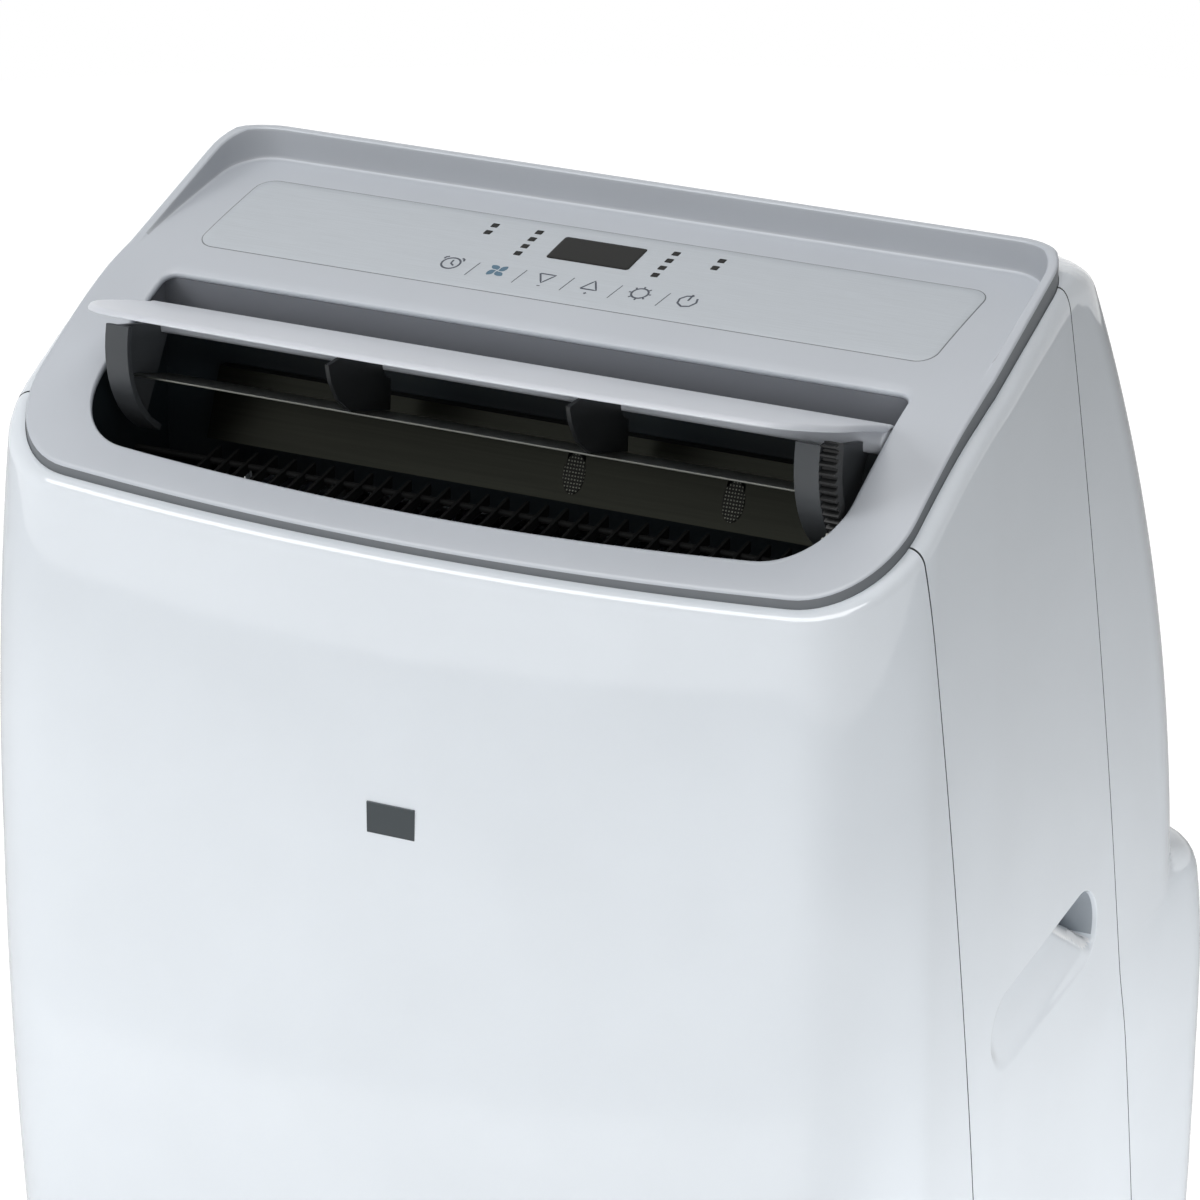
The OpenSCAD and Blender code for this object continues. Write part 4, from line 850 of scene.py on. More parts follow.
@dataclass
class Roll:
    """The rounded top edge that joins a cabinet face to the deck's edge.

    Attributes:
        form: The cabinet's outline.
        clear: How far it stays outside the deck's edge.
        steps: Rows of faces over the rounding.
        finer: Steps between two points of the deck's edge.
        fullness: Length of the curve's handles, as a share of its height and width.
        low: Height of the rounding at the front.
        rises: What each smooth step adds to it, the depth where it starts, and its run.
    """

    form: CabinetForm
    clear: float = 0.3
    steps: int = 9
    finer: int = 12
    fullness: float = 0.56
    low: float = 6.5
    rises: Sequence[tuple[float, float, float]] = ((5.5, 120, 120), (14, 225, 12))

    def __post_init__(self) -> None:
        """Steps the deck's edge finely."""
        loop = self.form.deck_loop()
        edge = loop + self.clear * normals(loop)
        t = np.linspace(0, 1, self.finer, endpoint=False)[None, :, None]
        after = np.roll(edge, -1, axis=0)
        self.fine = (edge[:, None] * (1 - t) + after[:, None] * t).reshape(-1, 2)

    def nearest(self, xy: Array) -> Array:
        """Nearest points of the deck's edge to a list of plan points."""
        gap = ((xy[:, None] - self.fine[None]) ** 2).sum(axis=2)
        return self.fine[gap.argmin(axis=1)]

    def height(self, y: Array) -> Array:
        """Height of the rounding: low, and the smooth steps behind it."""
        steps = (h * ease((y - self.form.behind(at)) / run) for h, at, run in self.rises)
        return sum(steps, start=self.low)

    def tops(self, face_xy: Array) -> tuple[Array, Array]:
        """Ends of the rounding for columns whose plan points are given.

        Args:
            face_xy: Plan points of the columns near the top.

        Returns:
            The points on the deck's edge, and the heights where the face ends.
        """
        edge = self.nearest(face_xy)
        z = self.form.rim_z(edge[:, 1]) - self.form.lip_drop(edge[:, 1])
        return with_z(edge, z), z - self.height(edge[:, 1])

    def curve(self, end: Array, below: Array, top: Array) -> Array:
        """Rows of a cubic Bezier from the face's last points to the deck's edge.

        Args:
            end: Last points of the face.
            below: Points a little below them, which give the face's direction.
            top: Points on the deck's edge.

        Returns:
            Rows of points, without the first.
        """
        up = (end - below) / np.linalg.norm(end - below, axis=1, keepdims=True)
        out = (end - top) * np.array([1, 1, 0])
        p1 = end + up * (top - end)[:, 2:3] * self.fullness
        p2 = top + out * self.fullness
        t = np.linspace(0, 1, self.steps + 1)[1:, None, None]
        return end * (1 - t) ** 3 + 3 * p1 * t * (1 - t) ** 2 + 3 * p2 * t**2 * (1 - t) + top * t**3


# ---------------------------------------------------------------- white panels


def at_heights(table: Array, heights: Array, z: Array) -> Array:
    """Points of a table of plan points at other heights, by straight interpolation.

    Args:
        table: Plan points, heights by columns by two.
        heights: The table's heights.
        z: Wanted heights, rows by columns.

    Returns:
        Points, rows by columns by three.
    """
    i = np.clip(np.searchsorted(heights, z) - 1, 0, len(heights) - 2)
    f = ((z - heights[i]) / (heights[i + 1] - heights[i]))[..., None]
    cols = np.arange(table.shape[1])[None, :]
    return with_z(table[i, cols] * (1 - f) + table[i + 1, cols] * f, z)


def stretched(rows: Array, ends: Array, start: float) -> Array:
    """Heights of a grid: level rows up to start, which then bend to reach each column's end."""
    f = np.clip((rows - start) / (rows[-1] - start), 0, 1)[:, None] ** 2
    return rows[:, None] + (ends - rows[-1])[None, :] * f


def reach(outline: Array, pole: Array, angles: Array) -> Array:
    """Distance from a pole to an outline in each direction, by crossing rays with its edges.

    Args:
        outline: Plan points that run anticlockwise round the pole.
        pole: The point that the rays start from.
        angles: Their directions, in radians.

    Returns:
        The distances.
    """
    p = outline - pole
    turn = np.unwrap(np.arctan2(p[:, 1], p[:, 0]))
    i = np.clip(np.searchsorted(turn, angles) - 1, 0, len(p) - 2)
    d = p[i + 1] - p[i]
    return ((p[i, 0] * d[:, 1] - p[i, 1] * d[:, 0])
            / (np.cos(angles) * d[:, 1] - np.sin(angles) * d[:, 0]))


@dataclass(frozen=True)
class Grip:
    """The recessed handle in a side panel: a scoop with a deep pocket at its rear end.

    Attributes:
        y: Its middle, from front to rear.
        z: Its middle height.
        length: Its length over the round ends.
        width: Its width.
        tilt: How far its rear end is raised, in degrees.
        deep: Depth of the pocket behind the slanted edge.
        pocket_from: Where the slanted edge crosses the slot's middle line.
        slant: The edge's slope across the slot.
        bevel: Width of the bevel in front of that edge.
        bevel_deep: How far the bevel drops over its width.
        scoop: Depth of the scoop at its front end, and how much it deepens to the rear.
        rim: How far in from the outline the wall falls, in steps.
        fall: The share of the depth that it has fallen there.
    """

    y: float = -15.0
    z: float = 437.0
    length: float = 125.0
    width: float = 40.0
    tilt: float = 9.0
    deep: float = 23.5
    pocket_from: float = 44.5
    slant: float = 0.9
    bevel: float = 6.5
    bevel_deep: float = 3.0
    scoop: tuple[float, float] = (3.0, 6.0)
    rim: tuple[float, ...] = (0, 0.3, 0.7, 1.1, 1.5, 2.0, 2.8)
    fall: tuple[float, ...] = (0, 0.02, 0.12, 0.4, 0.78, 0.95, 1)

    def turned(self) -> tuple[float, float]:
        """Cosine and sine of the tilt."""
        return math.cos(math.radians(self.tilt)), math.sin(math.radians(self.tilt))

    def local(self, y: Array, z: Array) -> tuple[Array, Array]:
        """Coordinates along and across the slot."""
        c, s = self.turned()
        return (y - self.y) * c + (z - self.z) * s, (z - self.z) * c - (y - self.y) * s

    def world(self, u: Array, v: Array) -> Array:
        """Plane points (y, z) for coordinates along and across the slot."""
        c, s = self.turned()
        return np.stack([self.y + u * c - v * s, self.z + u * s + v * c], axis=-1)

    def outline(self, border: Array) -> tuple[Array, Array]:
        """The slot's outline in the directions of a border's points.

        Each ray meets a straight side at half the width, or a round end's circle.

        Args:
            border: Plane points round the slot.

        Returns:
            Coordinates along and across the slot.
        """
        u, v = self.local(border[:, 0], border[:, 1])
        c, s = u / np.hypot(u, v), v / np.hypot(u, v)
        r, h = self.width / 2, (self.length - self.width) / 2
        straight = r / np.maximum(np.abs(s), 1e-9)
        rounded = h * np.abs(c) + np.sqrt(np.maximum(r * r - (h * s) ** 2, 0))
        far = np.where(straight * np.abs(c) <= h, straight, rounded)
        return c * far, s * far

    def past(self, u: Array, v: Array) -> Array:
        """Distance past the slanted edge, a straight line across the slot."""
        return (v + self.slant * (u - self.pocket_from)) / math.hypot(1, self.slant)

    def depth(self, u: Array, v: Array, inset: Array) -> Array:
        """Depth of the recess: a scoop that deepens along and up, then a bevel and a pocket.

        Args:
            u: Coordinate along the slot.
            v: Coordinate across it.
            inset: Distance in from the outline, which shapes the rounded rim and the wall.

        Returns:
            The depth.
        """
        along = np.clip((u + self.length / 2) / self.length, 0, 1)
        up = np.clip((v + self.width / 2) / self.width, 0, 1)
        scoop = (self.scoop[0] + self.scoop[1] * along) * (0.08 + 0.92 * up)
        past = self.past(u, v)
        bevel = self.bevel_deep * np.clip((past + self.bevel) / self.bevel, 0, 1)
        floor = scoop + bevel + (self.deep - scoop - self.bevel_deep) * ease(past / 2.5)
        gentle = np.clip(0.5 - v / 10, 0, 1) * np.clip(-past / 6, 0, 1)
        return floor * (np.interp(inset, self.rim, self.fall) * (1 - gentle)
                        + ease(inset / 7) * gentle)


@dataclass
class Cabinet:
    """The white front, side and rear panels.

    Attributes:
        form: The cabinet's outline.
        roll: Its rounded top edge.
        grip: The handle in each side.
        wall: Thickness of the panels.
        edge: Rounding of their edges.
        bores: X, Z, radius and half block of each round hole in the rear: the hose's
            collar, the cord's inlet and the two drains.
        windows: Left, right, bottom and top of the filters' openings, the upper first.
        columns: Steps of the front's outline, on each side of the middle.
        block: Front and rear of the grip's block of cells, as shares of the side's width.
        block_h: Half that block's height.
        fine_from: Height where a side's rows get finer, below the grip.
        side_bend: Height where a side's rows start to bend up to the rim, and their end.
        rear_bend: The same for the rear.
        inner_x: Half width of the rear's flat grid.
        pole: X and Y that the rear corners are drawn round from.
        round_steps: Columns round a rear corner.
    """

    form: CabinetForm
    roll: Roll
    grip: Grip = Grip()
    wall: float = 2.4
    edge: float = 0.35
    bores: Sequence[tuple[float, ...]] = ((-80, 332, 78.4, 86), (110, 302, 10.5, 17),
                                          (150, 362, 9.4, 13), (150, 90, 9.4, 12))
    windows: Sequence[tuple[float, ...]] = ((-150, 150, 470, 650), (-150, 150, 114, 240))
    columns: int = 70
    block: tuple[float, float] = (0.115, 0.893)
    block_h: float = 34.0
    fine_from: float = 364.0
    side_bend: tuple[float, float] = (560.0, 735.0)
    rear_bend: tuple[float, float] = (655.0, 733.0)
    inner_x: float = 186.0
    pole: tuple[float, float] = (120.0, 20.0)
    round_steps: int = 36

    def build(self) -> None:
        """Builds the four panels."""
        self._front()
        self._side(1, "right")
        self._side(-1, "left")
        self._rear()

    def _dress(self, parts: MeshParts, node: str) -> None:
        """Gives a panel its wall and soft edges, and publishes it.

        Args:
            parts: The panel's outer face, with indices 2 and 3 for a pocket's painted shade and its
                bevel's painted highlight.
            node: The CAD node that it stands for.
        """
        finishes = [WHITE_SHELL, SEAM_SHADE, POCKET_SHADE, BEVEL_GLEAM]
        piece = parts.build(node + "_moulding", finishes, Vector((0, 0, self.form.body_h / 2)))
        thicken(piece, self.wall, 1)
        soften(piece, self.edge, 50)
        publish(piece, "cabinet", [node])

    def _ends(self, table: Array, heights: Array, guess: float) -> tuple[Array, Array]:
        """Finds where the columns end, in a few rounds.

        Args:
            table: Plan points, heights by columns by two.
            heights: The table's heights.
            guess: A height near the ends.

        Returns:
            The columns' points on the deck's edge, and the heights of their face's end.
        """
        ends = np.full(table.shape[1], guess)
        for _ in range(4):
            top, ends = self.roll.tops(at_heights(table, heights, ends[None])[0, :, :2])
        return top, ends

    def _with_top(self, face: Array, top: Array) -> Array:
        """The face's rows, the rounding and a short lip that turns down inside the deck."""
        lip = top - np.array([0, 0, self.form.deck_edge])
        return np.concatenate([face, self.roll.curve(face[-1], face[-2], top), lip[None]])

    def _front(self) -> None:
        """The front: plan outlines up to the seam, evenly stepped and stacked over its height."""
        form = self.form
        heights = np.arange(form.skirt_z, form.body_h, 3.0)
        table = []
        for z in heights:
            plan = form.cabinet_plan(z)
            s = travelled(plan)
            end = np.interp(form.seam(form.front_line, z) - form.seam_gap / 2, plan[:, 1], s)
            at = np.linspace(0, end, self.columns + 1)
            right = np.stack([np.interp(at, s, plan[:, k]) for k in (0, 1)], axis=1)
            table.append(np.concatenate([mirror_x(right)[:-1], right]))
        table = np.array(table)
        top, ends = self._ends(table, heights, form.deck_z0 - 60)
        rows = ticks([form.skirt_z, ends.max()], 7)
        face = at_heights(table, heights, stretched(rows, ends, rows[0]))
        parts = MeshParts()
        parts.add_grid(self._with_top(face, top))
        self._dress(parts, "front_panel")

    def _side(self, sign: int, side: str) -> None:
        """A side as a height field over (y, z), with the grip let into it.

        Args:
            sign: 1 for the right side and -1 for the left.
            side: The side's name.
        """
        form, grip = self.form, self.grip
        bend_from, row_end = self.side_bend
        w = ticks([0, *self.block, 1], 0.0125)
        low, high = grip.z - self.block_h, grip.z + self.block_h
        rows = np.concatenate([
            ticks([form.skirt_z, self.fine_from], 8)[:-1], ticks([self.fine_from, low], 4)[:-1],
            ticks([low, high], 2.2)[:-1], ticks([high, row_end], 7),
        ])
        heights = np.concatenate([rows[rows < bend_from], np.arange(bend_from, form.body_h, 2.0)])
        gap = form.seam_gap / 2
        y0 = form.seam(form.front_line, heights[:, None]) + gap
        y = y0 + w * (form.seam(form.rear_line, heights[:, None]) - gap - y0)
        table = np.stack([form.side_x(y, heights[:, None]), y], axis=-1)
        top, ends = self._ends(table, heights, form.deck_z0)
        face = at_heights(table, heights, stretched(rows, ends, bend_from))
        whole = self._with_top(face, top)
        c0, c1 = (int(np.argmin(abs(w - edge))) for edge in self.block)
        r0, r1 = (int(np.argmin(abs(rows - z))) for z in (low, high))
        keep = np.ones((len(whole) - 1, len(w) - 1), bool)
        keep[r0:r1, c0:c1] = False
        turn = np.array([sign, 1, 1])
        parts = MeshParts()
        parts.add_grid(whole * turn, keep=keep)
        cells = block_border(np.arange(len(w)), np.arange(len(rows)), (r0, r1, c0, c1)).astype(int)
        border = face[cells[:, 1], cells[:, 0]][:, 1:]
        u, v = grip.outline(border)
        flat = ring_between(border, grip.world(u, v), 6)
        ends_at = (grip.length - grip.width) / 2
        middle = np.clip(u, -ends_at, ends_at)
        inset = [0.3, 0.6, 0.9, 1.2, 1.5, 1.8, 2.2, 2.8, *np.arange(4, 20.1, 1.6)]
        inset = np.array(inset)[:, None]
        f = 1 - inset / (grip.width / 2)
        iu, iv = middle + (u - middle) * f, v * f
        yz = np.concatenate([flat, grip.world(iu, iv)])
        depth = np.concatenate([np.zeros(flat.shape[:2]), grip.depth(iu, iv, inset)])
        x = form.side_x(yz[..., 0], yz[..., 1]) - depth
        past = grip.past(*grip.local(yz[..., 0], yz[..., 1]))
        # Cells deep in the pocket get painted shade (index 2), and those on the bevel a painted
        # highlight (index 3)
        deep = (past > 0.6) & (depth > 2)
        edge = (past > -grip.bevel) & (past < 0.6) & (depth > 1.5)
        shade = np.where(deep[1:] & deep[:-1], 2, np.where(edge[1:] & edge[:-1], 3, 0))
        parts.add_grid(np.concatenate([x[..., None], yz], axis=-1) * turn, wrap=True, slot=shade)
        self._dress(parts, side + "_side_panel")

    def _corner(self, z: float) -> Array:
        """Plan points round the right rear corner, as rays from a pole inside the cabinet.

        Args:
            z: Height of the outline.

        Returns:
            The points, from the seam to inner_x.
        """
        form = self.form
        y0 = form.seam(form.rear_line, z) + form.seam_gap / 2
        start = np.array([float(form.side_x(y0, z)), y0])
        end = np.array([self.inner_x, float(form.back_y(self.inner_x, z))])
        pole = np.array(self.pole)
        a = np.linspace(*[math.atan2(*(p - pole)[::-1]) for p in (start, end)],
                        self.round_steps + 1)
        r = reach(form.cabinet_plan(z), pole, a)
        if z < form.bulge_top:
            bw, by, rr = float(form.bulge_half_w(z)), float(form.bulge_rear(z)), form.bulge_corner_r
            bend = arc(bw - rr, by - rr, rr, 0, math.pi / 2, 16)
            r = softer_max(r, reach(np.concatenate([[[bw, -60]], bend, [[0, by]]]), pole, a))
        points = pole + r[:, None] * np.stack([np.cos(a), np.sin(a)], axis=1)
        points[0], points[-1] = start, end
        return points

    def _rear(self) -> None:
        """The rear cover: corners, and a back over (x, z) with its windows and bores."""
        form, steps = self.form, self.round_steps
        bend_from, row_end = self.rear_bend
        (x0, x1, high0, high1), (_, _, low0, low1) = self.windows
        edges = [x + k * b for x, _, _, b in self.bores for k in (-1, 1)]
        levels = [z + k * b for _, z, _, b in self.bores for k in (-1, 1)]
        x = ticks([-self.inner_x, x0, 0, x1, self.inner_x, *edges], 9)
        bulge = form.bulge_top - form.bulge_round * (1 - np.sin(np.linspace(0, math.pi / 2, 9)))
        below = ticks([form.skirt_z, low0, low1, *levels, form.bulge_top - form.bulge_round], 8)
        above = ticks([form.bulge_top, high0, high1, row_end], 7)
        rows = np.array(sorted({*below, *bulge, *above}))
        rows = rows[np.concatenate([[True], np.diff(rows) > 1e-6])]
        heights = np.concatenate([rows[rows < 660], np.arange(660, form.body_h, 2.0)])
        table = []
        for z in heights:
            corner = self._corner(z)
            back = np.stack([x, form.back_y(x, z)], axis=1)
            left = mirror_x(corner[::-1])[::-1][:-1]
            table.append(np.concatenate([left, back, corner[::-1][1:]]))
        table = np.array(table)
        top, ends = self._ends(table, heights, form.deck_z0)
        whole = self._with_top(at_heights(table, heights, stretched(rows, ends, bend_from)), top)
        keep = np.ones((len(whole) - 1, table.shape[1] - 1), bool)
        parts = MeshParts()

        def cells(x0: float, x1: float, z0: float, z1: float) -> tuple[int, int, int, int]:
            """Rows and columns of the grid at a block's edges."""
            near = [(rows, z0), (rows, z1), (x, x0), (x, x1)]
            return tuple(int(np.argmin(abs(line - place))) for line, place in near)

        for window in self.windows:
            r0, r1, c0, c1 = cells(*window)
            keep[r0:r1, c0 + steps : c1 + steps] = False
        for cx, cz, r, b in self.bores:
            block = cells(cx - b, cx + b, cz - b, cz + b)
            keep[block[0] : block[1], block[2] + steps : block[3] + steps] = False
            border = block_border(x, rows, block)
            ray = border - np.array([cx, cz])
            circle = np.array([cx, cz]) + r * ray / np.linalg.norm(ray, axis=1, keepdims=True)
            xz = ring_between(border, circle, 4)
            back = form.back_y(xz[..., 0], xz[..., 1])
            parts.add_grid(np.stack([xz[..., 0], back, xz[..., 1]], axis=-1), wrap=True)
        parts.add_grid(whole, keep=keep)
        self._dress(parts, "rear_cover")


# ---------------------------------------------------------------- deck and controls

CLOCK, FAN, LOWER, HIGHER, MODE, POWER = -60.5, -36.6, -12.1, 11.6, 36.0, 60.0
# Printed strokes of the keys' symbols: the key's middle, scale, stroke width, and points from
# that middle
KEY_STROKES = [
    (CLOCK, 1.15, 0.9, [(0, 2.4), (0, 0), (1.8, -1.4)]),
    (CLOCK, 1.15, 1.0, [(-4.4, 2.4), (-4.1, 3.7), (-2.9, 4.4)]),
    (CLOCK, 1.15, 1.0, [(4.4, 2.4), (4.1, 3.7), (2.9, 4.4)]),
    (LOWER, 1.15, 0.9, [(-3.5, 2.8), (0, -3.4), (3.5, 2.8), (-3.3, 2.8)]),
    (LOWER, 1.0, 0.6, [(-0.8, -6.3), (0.8, -6.3)]),
    (HIGHER, 1.15, 0.9, [(-3.5, -2.8), (0, 3.4), (3.5, -2.8), (-3.3, -2.8)]),
    (HIGHER, 1.0, 0.6, [(-0.8, -6.3), (0.8, -6.3)]),
    (HIGHER, 1.0, 0.6, [(0, -5.5), (0, -7.1)]),
    (POWER, 1.15, 1.0, [(0.9, 3.8), (-2.0, 3.1), (-3.9, 0.8), (-3.4, -2.2), (-0.9, -4.0),
                        (2.2, -3.2), (3.8, -0.4), (3.0, 2.4)]),
    (POWER, 1.15, 1.0, [(-0.1, 0.2), (0.1, 4.6)]),
    *((MODE, 1.0, 0.9, [(r * math.cos(a), r * math.sin(a)) for r in (4.4, 5.5)])
      for a in np.arange(8) * math.pi / 4),
    *((x, 1.0, 0.5, [(1.0, 3.9), (-1.0, -7.2)]) for x in (-48.4, -24.3, 0, 24.3, 48.4)),
]


@dataclass
class Deck:
    """The silver deck with its rim, its outlet and its controls.

    Attributes:
        form: The cabinet's outline.
        outlet_hw: Half width of the outlet.
        outlet: Depth of the outlet's front and rear.
        outlet_r: Radii of its front bow, its front corners and its rear corners.
        foot: How far the edge reaches down behind the white panels.
        edge_r: Radius of the rim's outer edge.
        rim_steps: Distance in from the edge of each loop of the rim's inner wall.
        rim_falls: How far down that wall each loop lies, as a share.
        film_half: Half width and depth of the control film.
        film_y: Y of its middle.
        key_y: Y of the row of keys.
        ink_lift: Height of ink above the deck.
        window: The display's X, Y, half width, half depth, corner radius and lift.
        lens: A lens's half size, corner radius and lift.
        lens_x: X of the inner and outer lenses; the outer ones are in the two rear rows only.
        lens_y: Y of the lenses' first row, and the distance between rows.
    """

    form: CabinetForm
    outlet_hw: float = 188.0
    outlet: tuple[float, float] = (30.5, 125.0)
    outlet_r: tuple[float, ...] = (2050.0, 33.0, 6.0)
    foot: float = 6.0
    edge_r: float = 1.5
    rim_steps: tuple[float, ...] = (3.8, 4.4, 4.8, 5.05, 5.5, 5.9, 6.3, 6.9, 7.6)
    rim_falls: tuple[float, ...] = (0, 0.02, 0.07, 0.15, 0.55, 0.85, 0.95, 0.99, 1)
    film_half: tuple[float, float] = (186.5, 31.0)
    film_y: float = -23.0
    key_y: float = -37.5
    ink_lift: float = 0.24
    window: tuple[float, ...] = (0, -11.5, 21, 9.75, 1.6, 0.4)
    lens: tuple[float, ...] = (1.8, 1.8, 0.5, 0.3)
    lens_x: tuple[float, float] = (35.0, 58.0)
    lens_y: tuple[float, float] = (-21.4, 6.6)

    def outlet_loop(self) -> Array:
        """Closed plan loop of the outlet, with as many points as the deck's edge."""
        front, rear = (self.form.behind(depth) for depth in self.outlet)
        return self.form.closed(self.form.plan(self.outlet_hw, front, rear, *self.outlet_r, 0))

    def build(self) -> None:
        """Builds the deck, the film, the display and the lenses."""
        self._top()
        self._film()
        parts = MeshParts()
        self._tile(parts, *self.window)
        self._lay(parts, "display_cover", [SMOKED_ACRYLIC], "display_window")
        parts = MeshParts()
        inner, outer = self.lens_x
        for row in range(4):
            for x in (-outer, -inner, inner, outer) if row > 1 else (-inner, inner):
                self._tile(parts, x, self.lens_y[0] + self.lens_y[1] * row, *self.lens)
        self._lay(parts, "indicator_caps", [SMOKED_ACRYLIC],
                  "indicator_lenses")

    def _top(self) -> None:
        """The deck: loops from its foot over the rim, down the inner wall, in to the outlet."""
        form = self.form
        outer, hole = form.deck_loop(), self.outlet_loop()
        normal, hole_n = normals(outer), normals(hole)
        foot = form.rim_z(outer[:, 1]) - form.lip_drop(outer[:, 1]) - self.foot
        loops, kinds = [], []

        def put(xy: Array, z: Array, kind: int | Array) -> None:
            """Adds one loop, and the finish of the faces up to it."""
            loops.append(with_z(xy, z))
            kinds.append(np.broadcast_to(kind, len(xy)))

        put(outer, foot, 1)
        for a in np.linspace(0, math.pi / 2, 6):
            xy = outer - normal * self.edge_r * (1 - math.cos(a))
            z = form.rim_z(xy[:, 1]) - self.edge_r + self.edge_r * math.sin(a)
            put(xy, z, 1 if a < 0.6 else 0)
        for inset, fall in zip(self.rim_steps, self.rim_falls):
            xy = outer - normal * inset
            rim, floor = form.rim_z(xy[:, 1]), form.deck_z(xy[:, 1])
            shaded = (rim - floor > 1) & (0.1 < fall < 0.97)
            put(xy, rim + (floor - rim) * fall, np.where(shaded, 2, 0))
        for ring in ring_between(outer - normal * self.rim_steps[-1], hole + hole_n * 1.8, 30)[1:]:
            put(ring, form.deck_z(ring[:, 1]), 0)
        # The outlet's rounded edge, and a short return under it
        for out, low in ((1.1, 0.15), (0.5, 0.5), (0.12, 1.1), (0, 1.8), (0, 3.0), (3, 3.2)):
            put(hole + hole_n * out, form.deck_z(hole[:, 1]) - low, 0)
        parts = MeshParts()
        parts.add_grid(np.array(loops), wrap=True, slot=np.array(kinds[1:]))
        piece = parts.build("deck_moulding", [SILVER_DECK, GREY_LIP, RIM_WALL], Vector((0, 0, 0)))
        publish(piece, "cabinet", ["top_deck"])

    def _tile(self, parts: MeshParts, cx: float, cy: float, hx: float, hy: float, r: float,
              lift: float, slot: int = 0) -> None:
        """Adds a thin rounded rectangle that lies on the deck, as rings from edge to spine.

        Args:
            parts: The mesh to add to.
            cx: X of its middle.
            cy: Y of its middle.
            hx: Half its width.
            hy: Half its depth.
            r: Radius of its corners.
            lift: Height of its top above the deck.
            slot: Material index.
        """
        quarter = math.pi / 2
        ne, nw, sw, se = (
            arc(cx + sx * (hx - r), cy + sy * (hy - r), r, k * quarter, (k + 1) * quarter, 8)
            for k, (sx, sy) in enumerate(((1, 1), (-1, 1), (-1, -1), (1, -1))))
        side = np.linspace(cy - hy + r, cy + hy - r, 14)[1:-1]
        right = np.stack([np.full(12, cx + hx), side], axis=1)
        left = np.stack([np.full(12, cx - hx), side[::-1]], axis=1)
        loop = np.concatenate([right, ne, nw, left, sw, se])
        reach_x = max(0, hx - hy)
        spine = np.stack([np.clip(loop[:, 0], cx - reach_x, cx + reach_x),
                          np.full(len(loop), cy)], axis=1)
        rings = ring_between(loop, spine, 8)
        top = self.form.deck_z(rings[..., 1]) + lift
        soft = loop + (spine - loop) * 0.12 / max(hy, 1)
        edge = [with_z(loop, top[0] - lift - 0.2), with_z(loop, top[0] - 0.06),
                with_z(soft, self.form.deck_z(soft[:, 1]) + lift)]
        parts.add_grid(np.concatenate([edge, with_z(rings, top)[1:]]), wrap=True, slot=slot)

    def _print(self, parts: MeshParts, xy: Array, closed: bool, slot: int) -> None:
        """Adds ink that follows the deck, over rows of plan points."""
        inked = with_z(xy, self.form.deck_z(xy[..., 1]) + self.ink_lift)
        parts.add_grid(inked, wrap=closed, slot=slot)

    def _stroke(self, parts: MeshParts, path: Array, width: float, closed: bool) -> None:
        """Adds a printed stroke of even width along a path on the film."""
        half = normals(path, closed) * width / 2
        self._print(parts, np.stack([path - half, path + half]), closed, 2)

    def _film(self) -> None:
        """The brushed film with its border, and the generic symbols of its six keys."""
        parts = MeshParts()
        hx, hy = self.film_half
        self._tile(parts, 0, self.film_y, hx, hy, 9, 0.1, 1)
        self._tile(parts, 0, self.film_y, hx - 0.5, hy - 0.5, 8.5, 0.2, 0)
        for x, r in ((CLOCK, 4.4), (MODE, 3.9)):
            self._stroke(parts, arc(x, self.key_y, r, 0, 2 * math.pi, 24)[:-1], 1.0, True)
        for middle, scale, width, points in KEY_STROKES:
            p = np.array(points) * scale + [middle, self.key_y]
            t = np.linspace(0, 1, 6)[1:, None]
            path = np.concatenate([p[:1]] + [a + (b - a) * t for a, b in zip(p, p[1:])])
            self._stroke(parts, path, width, False)
        # Four blades, each between two curves that part and meet again from hub to tip
        r = np.linspace(0.6, 5.4, 9)
        for k in range(4):
            middle = math.pi * (k / 2 + 0.12) + 0.09 * r
            half = 0.66 * np.sin(math.pi * np.clip(r / 5.6, 0, 1) ** 0.75)
            a = np.stack([middle - half, middle + half])
            blade = np.stack([FAN + r * np.cos(a), self.key_y + r * np.sin(a)], axis=-1)
            self._print(parts, blade, False, 3)
        self._lay(parts, "control_film", [BRUSHED_FILM, GREY_LIP, INK, BLUE_INK],
                  "control_overlay")

    def _lay(self, parts: MeshParts, name: str, finishes: Sequence[Finish],
             node: str) -> None:
        """Builds a flat piece, turns every face upwards and publishes it.

        Args:
            parts: Its grids.
            name: The piece's name.
            finishes: One finish for each material index.
            node: The CAD node that it stands for.
        """
        piece = parts.build(name, finishes)
        with edited(piece.data) as work:
            bmesh.ops.reverse_faces(work, faces=[f for f in work.faces if f.normal.z < -0.01])
        publish(piece, "cabinet", [node])


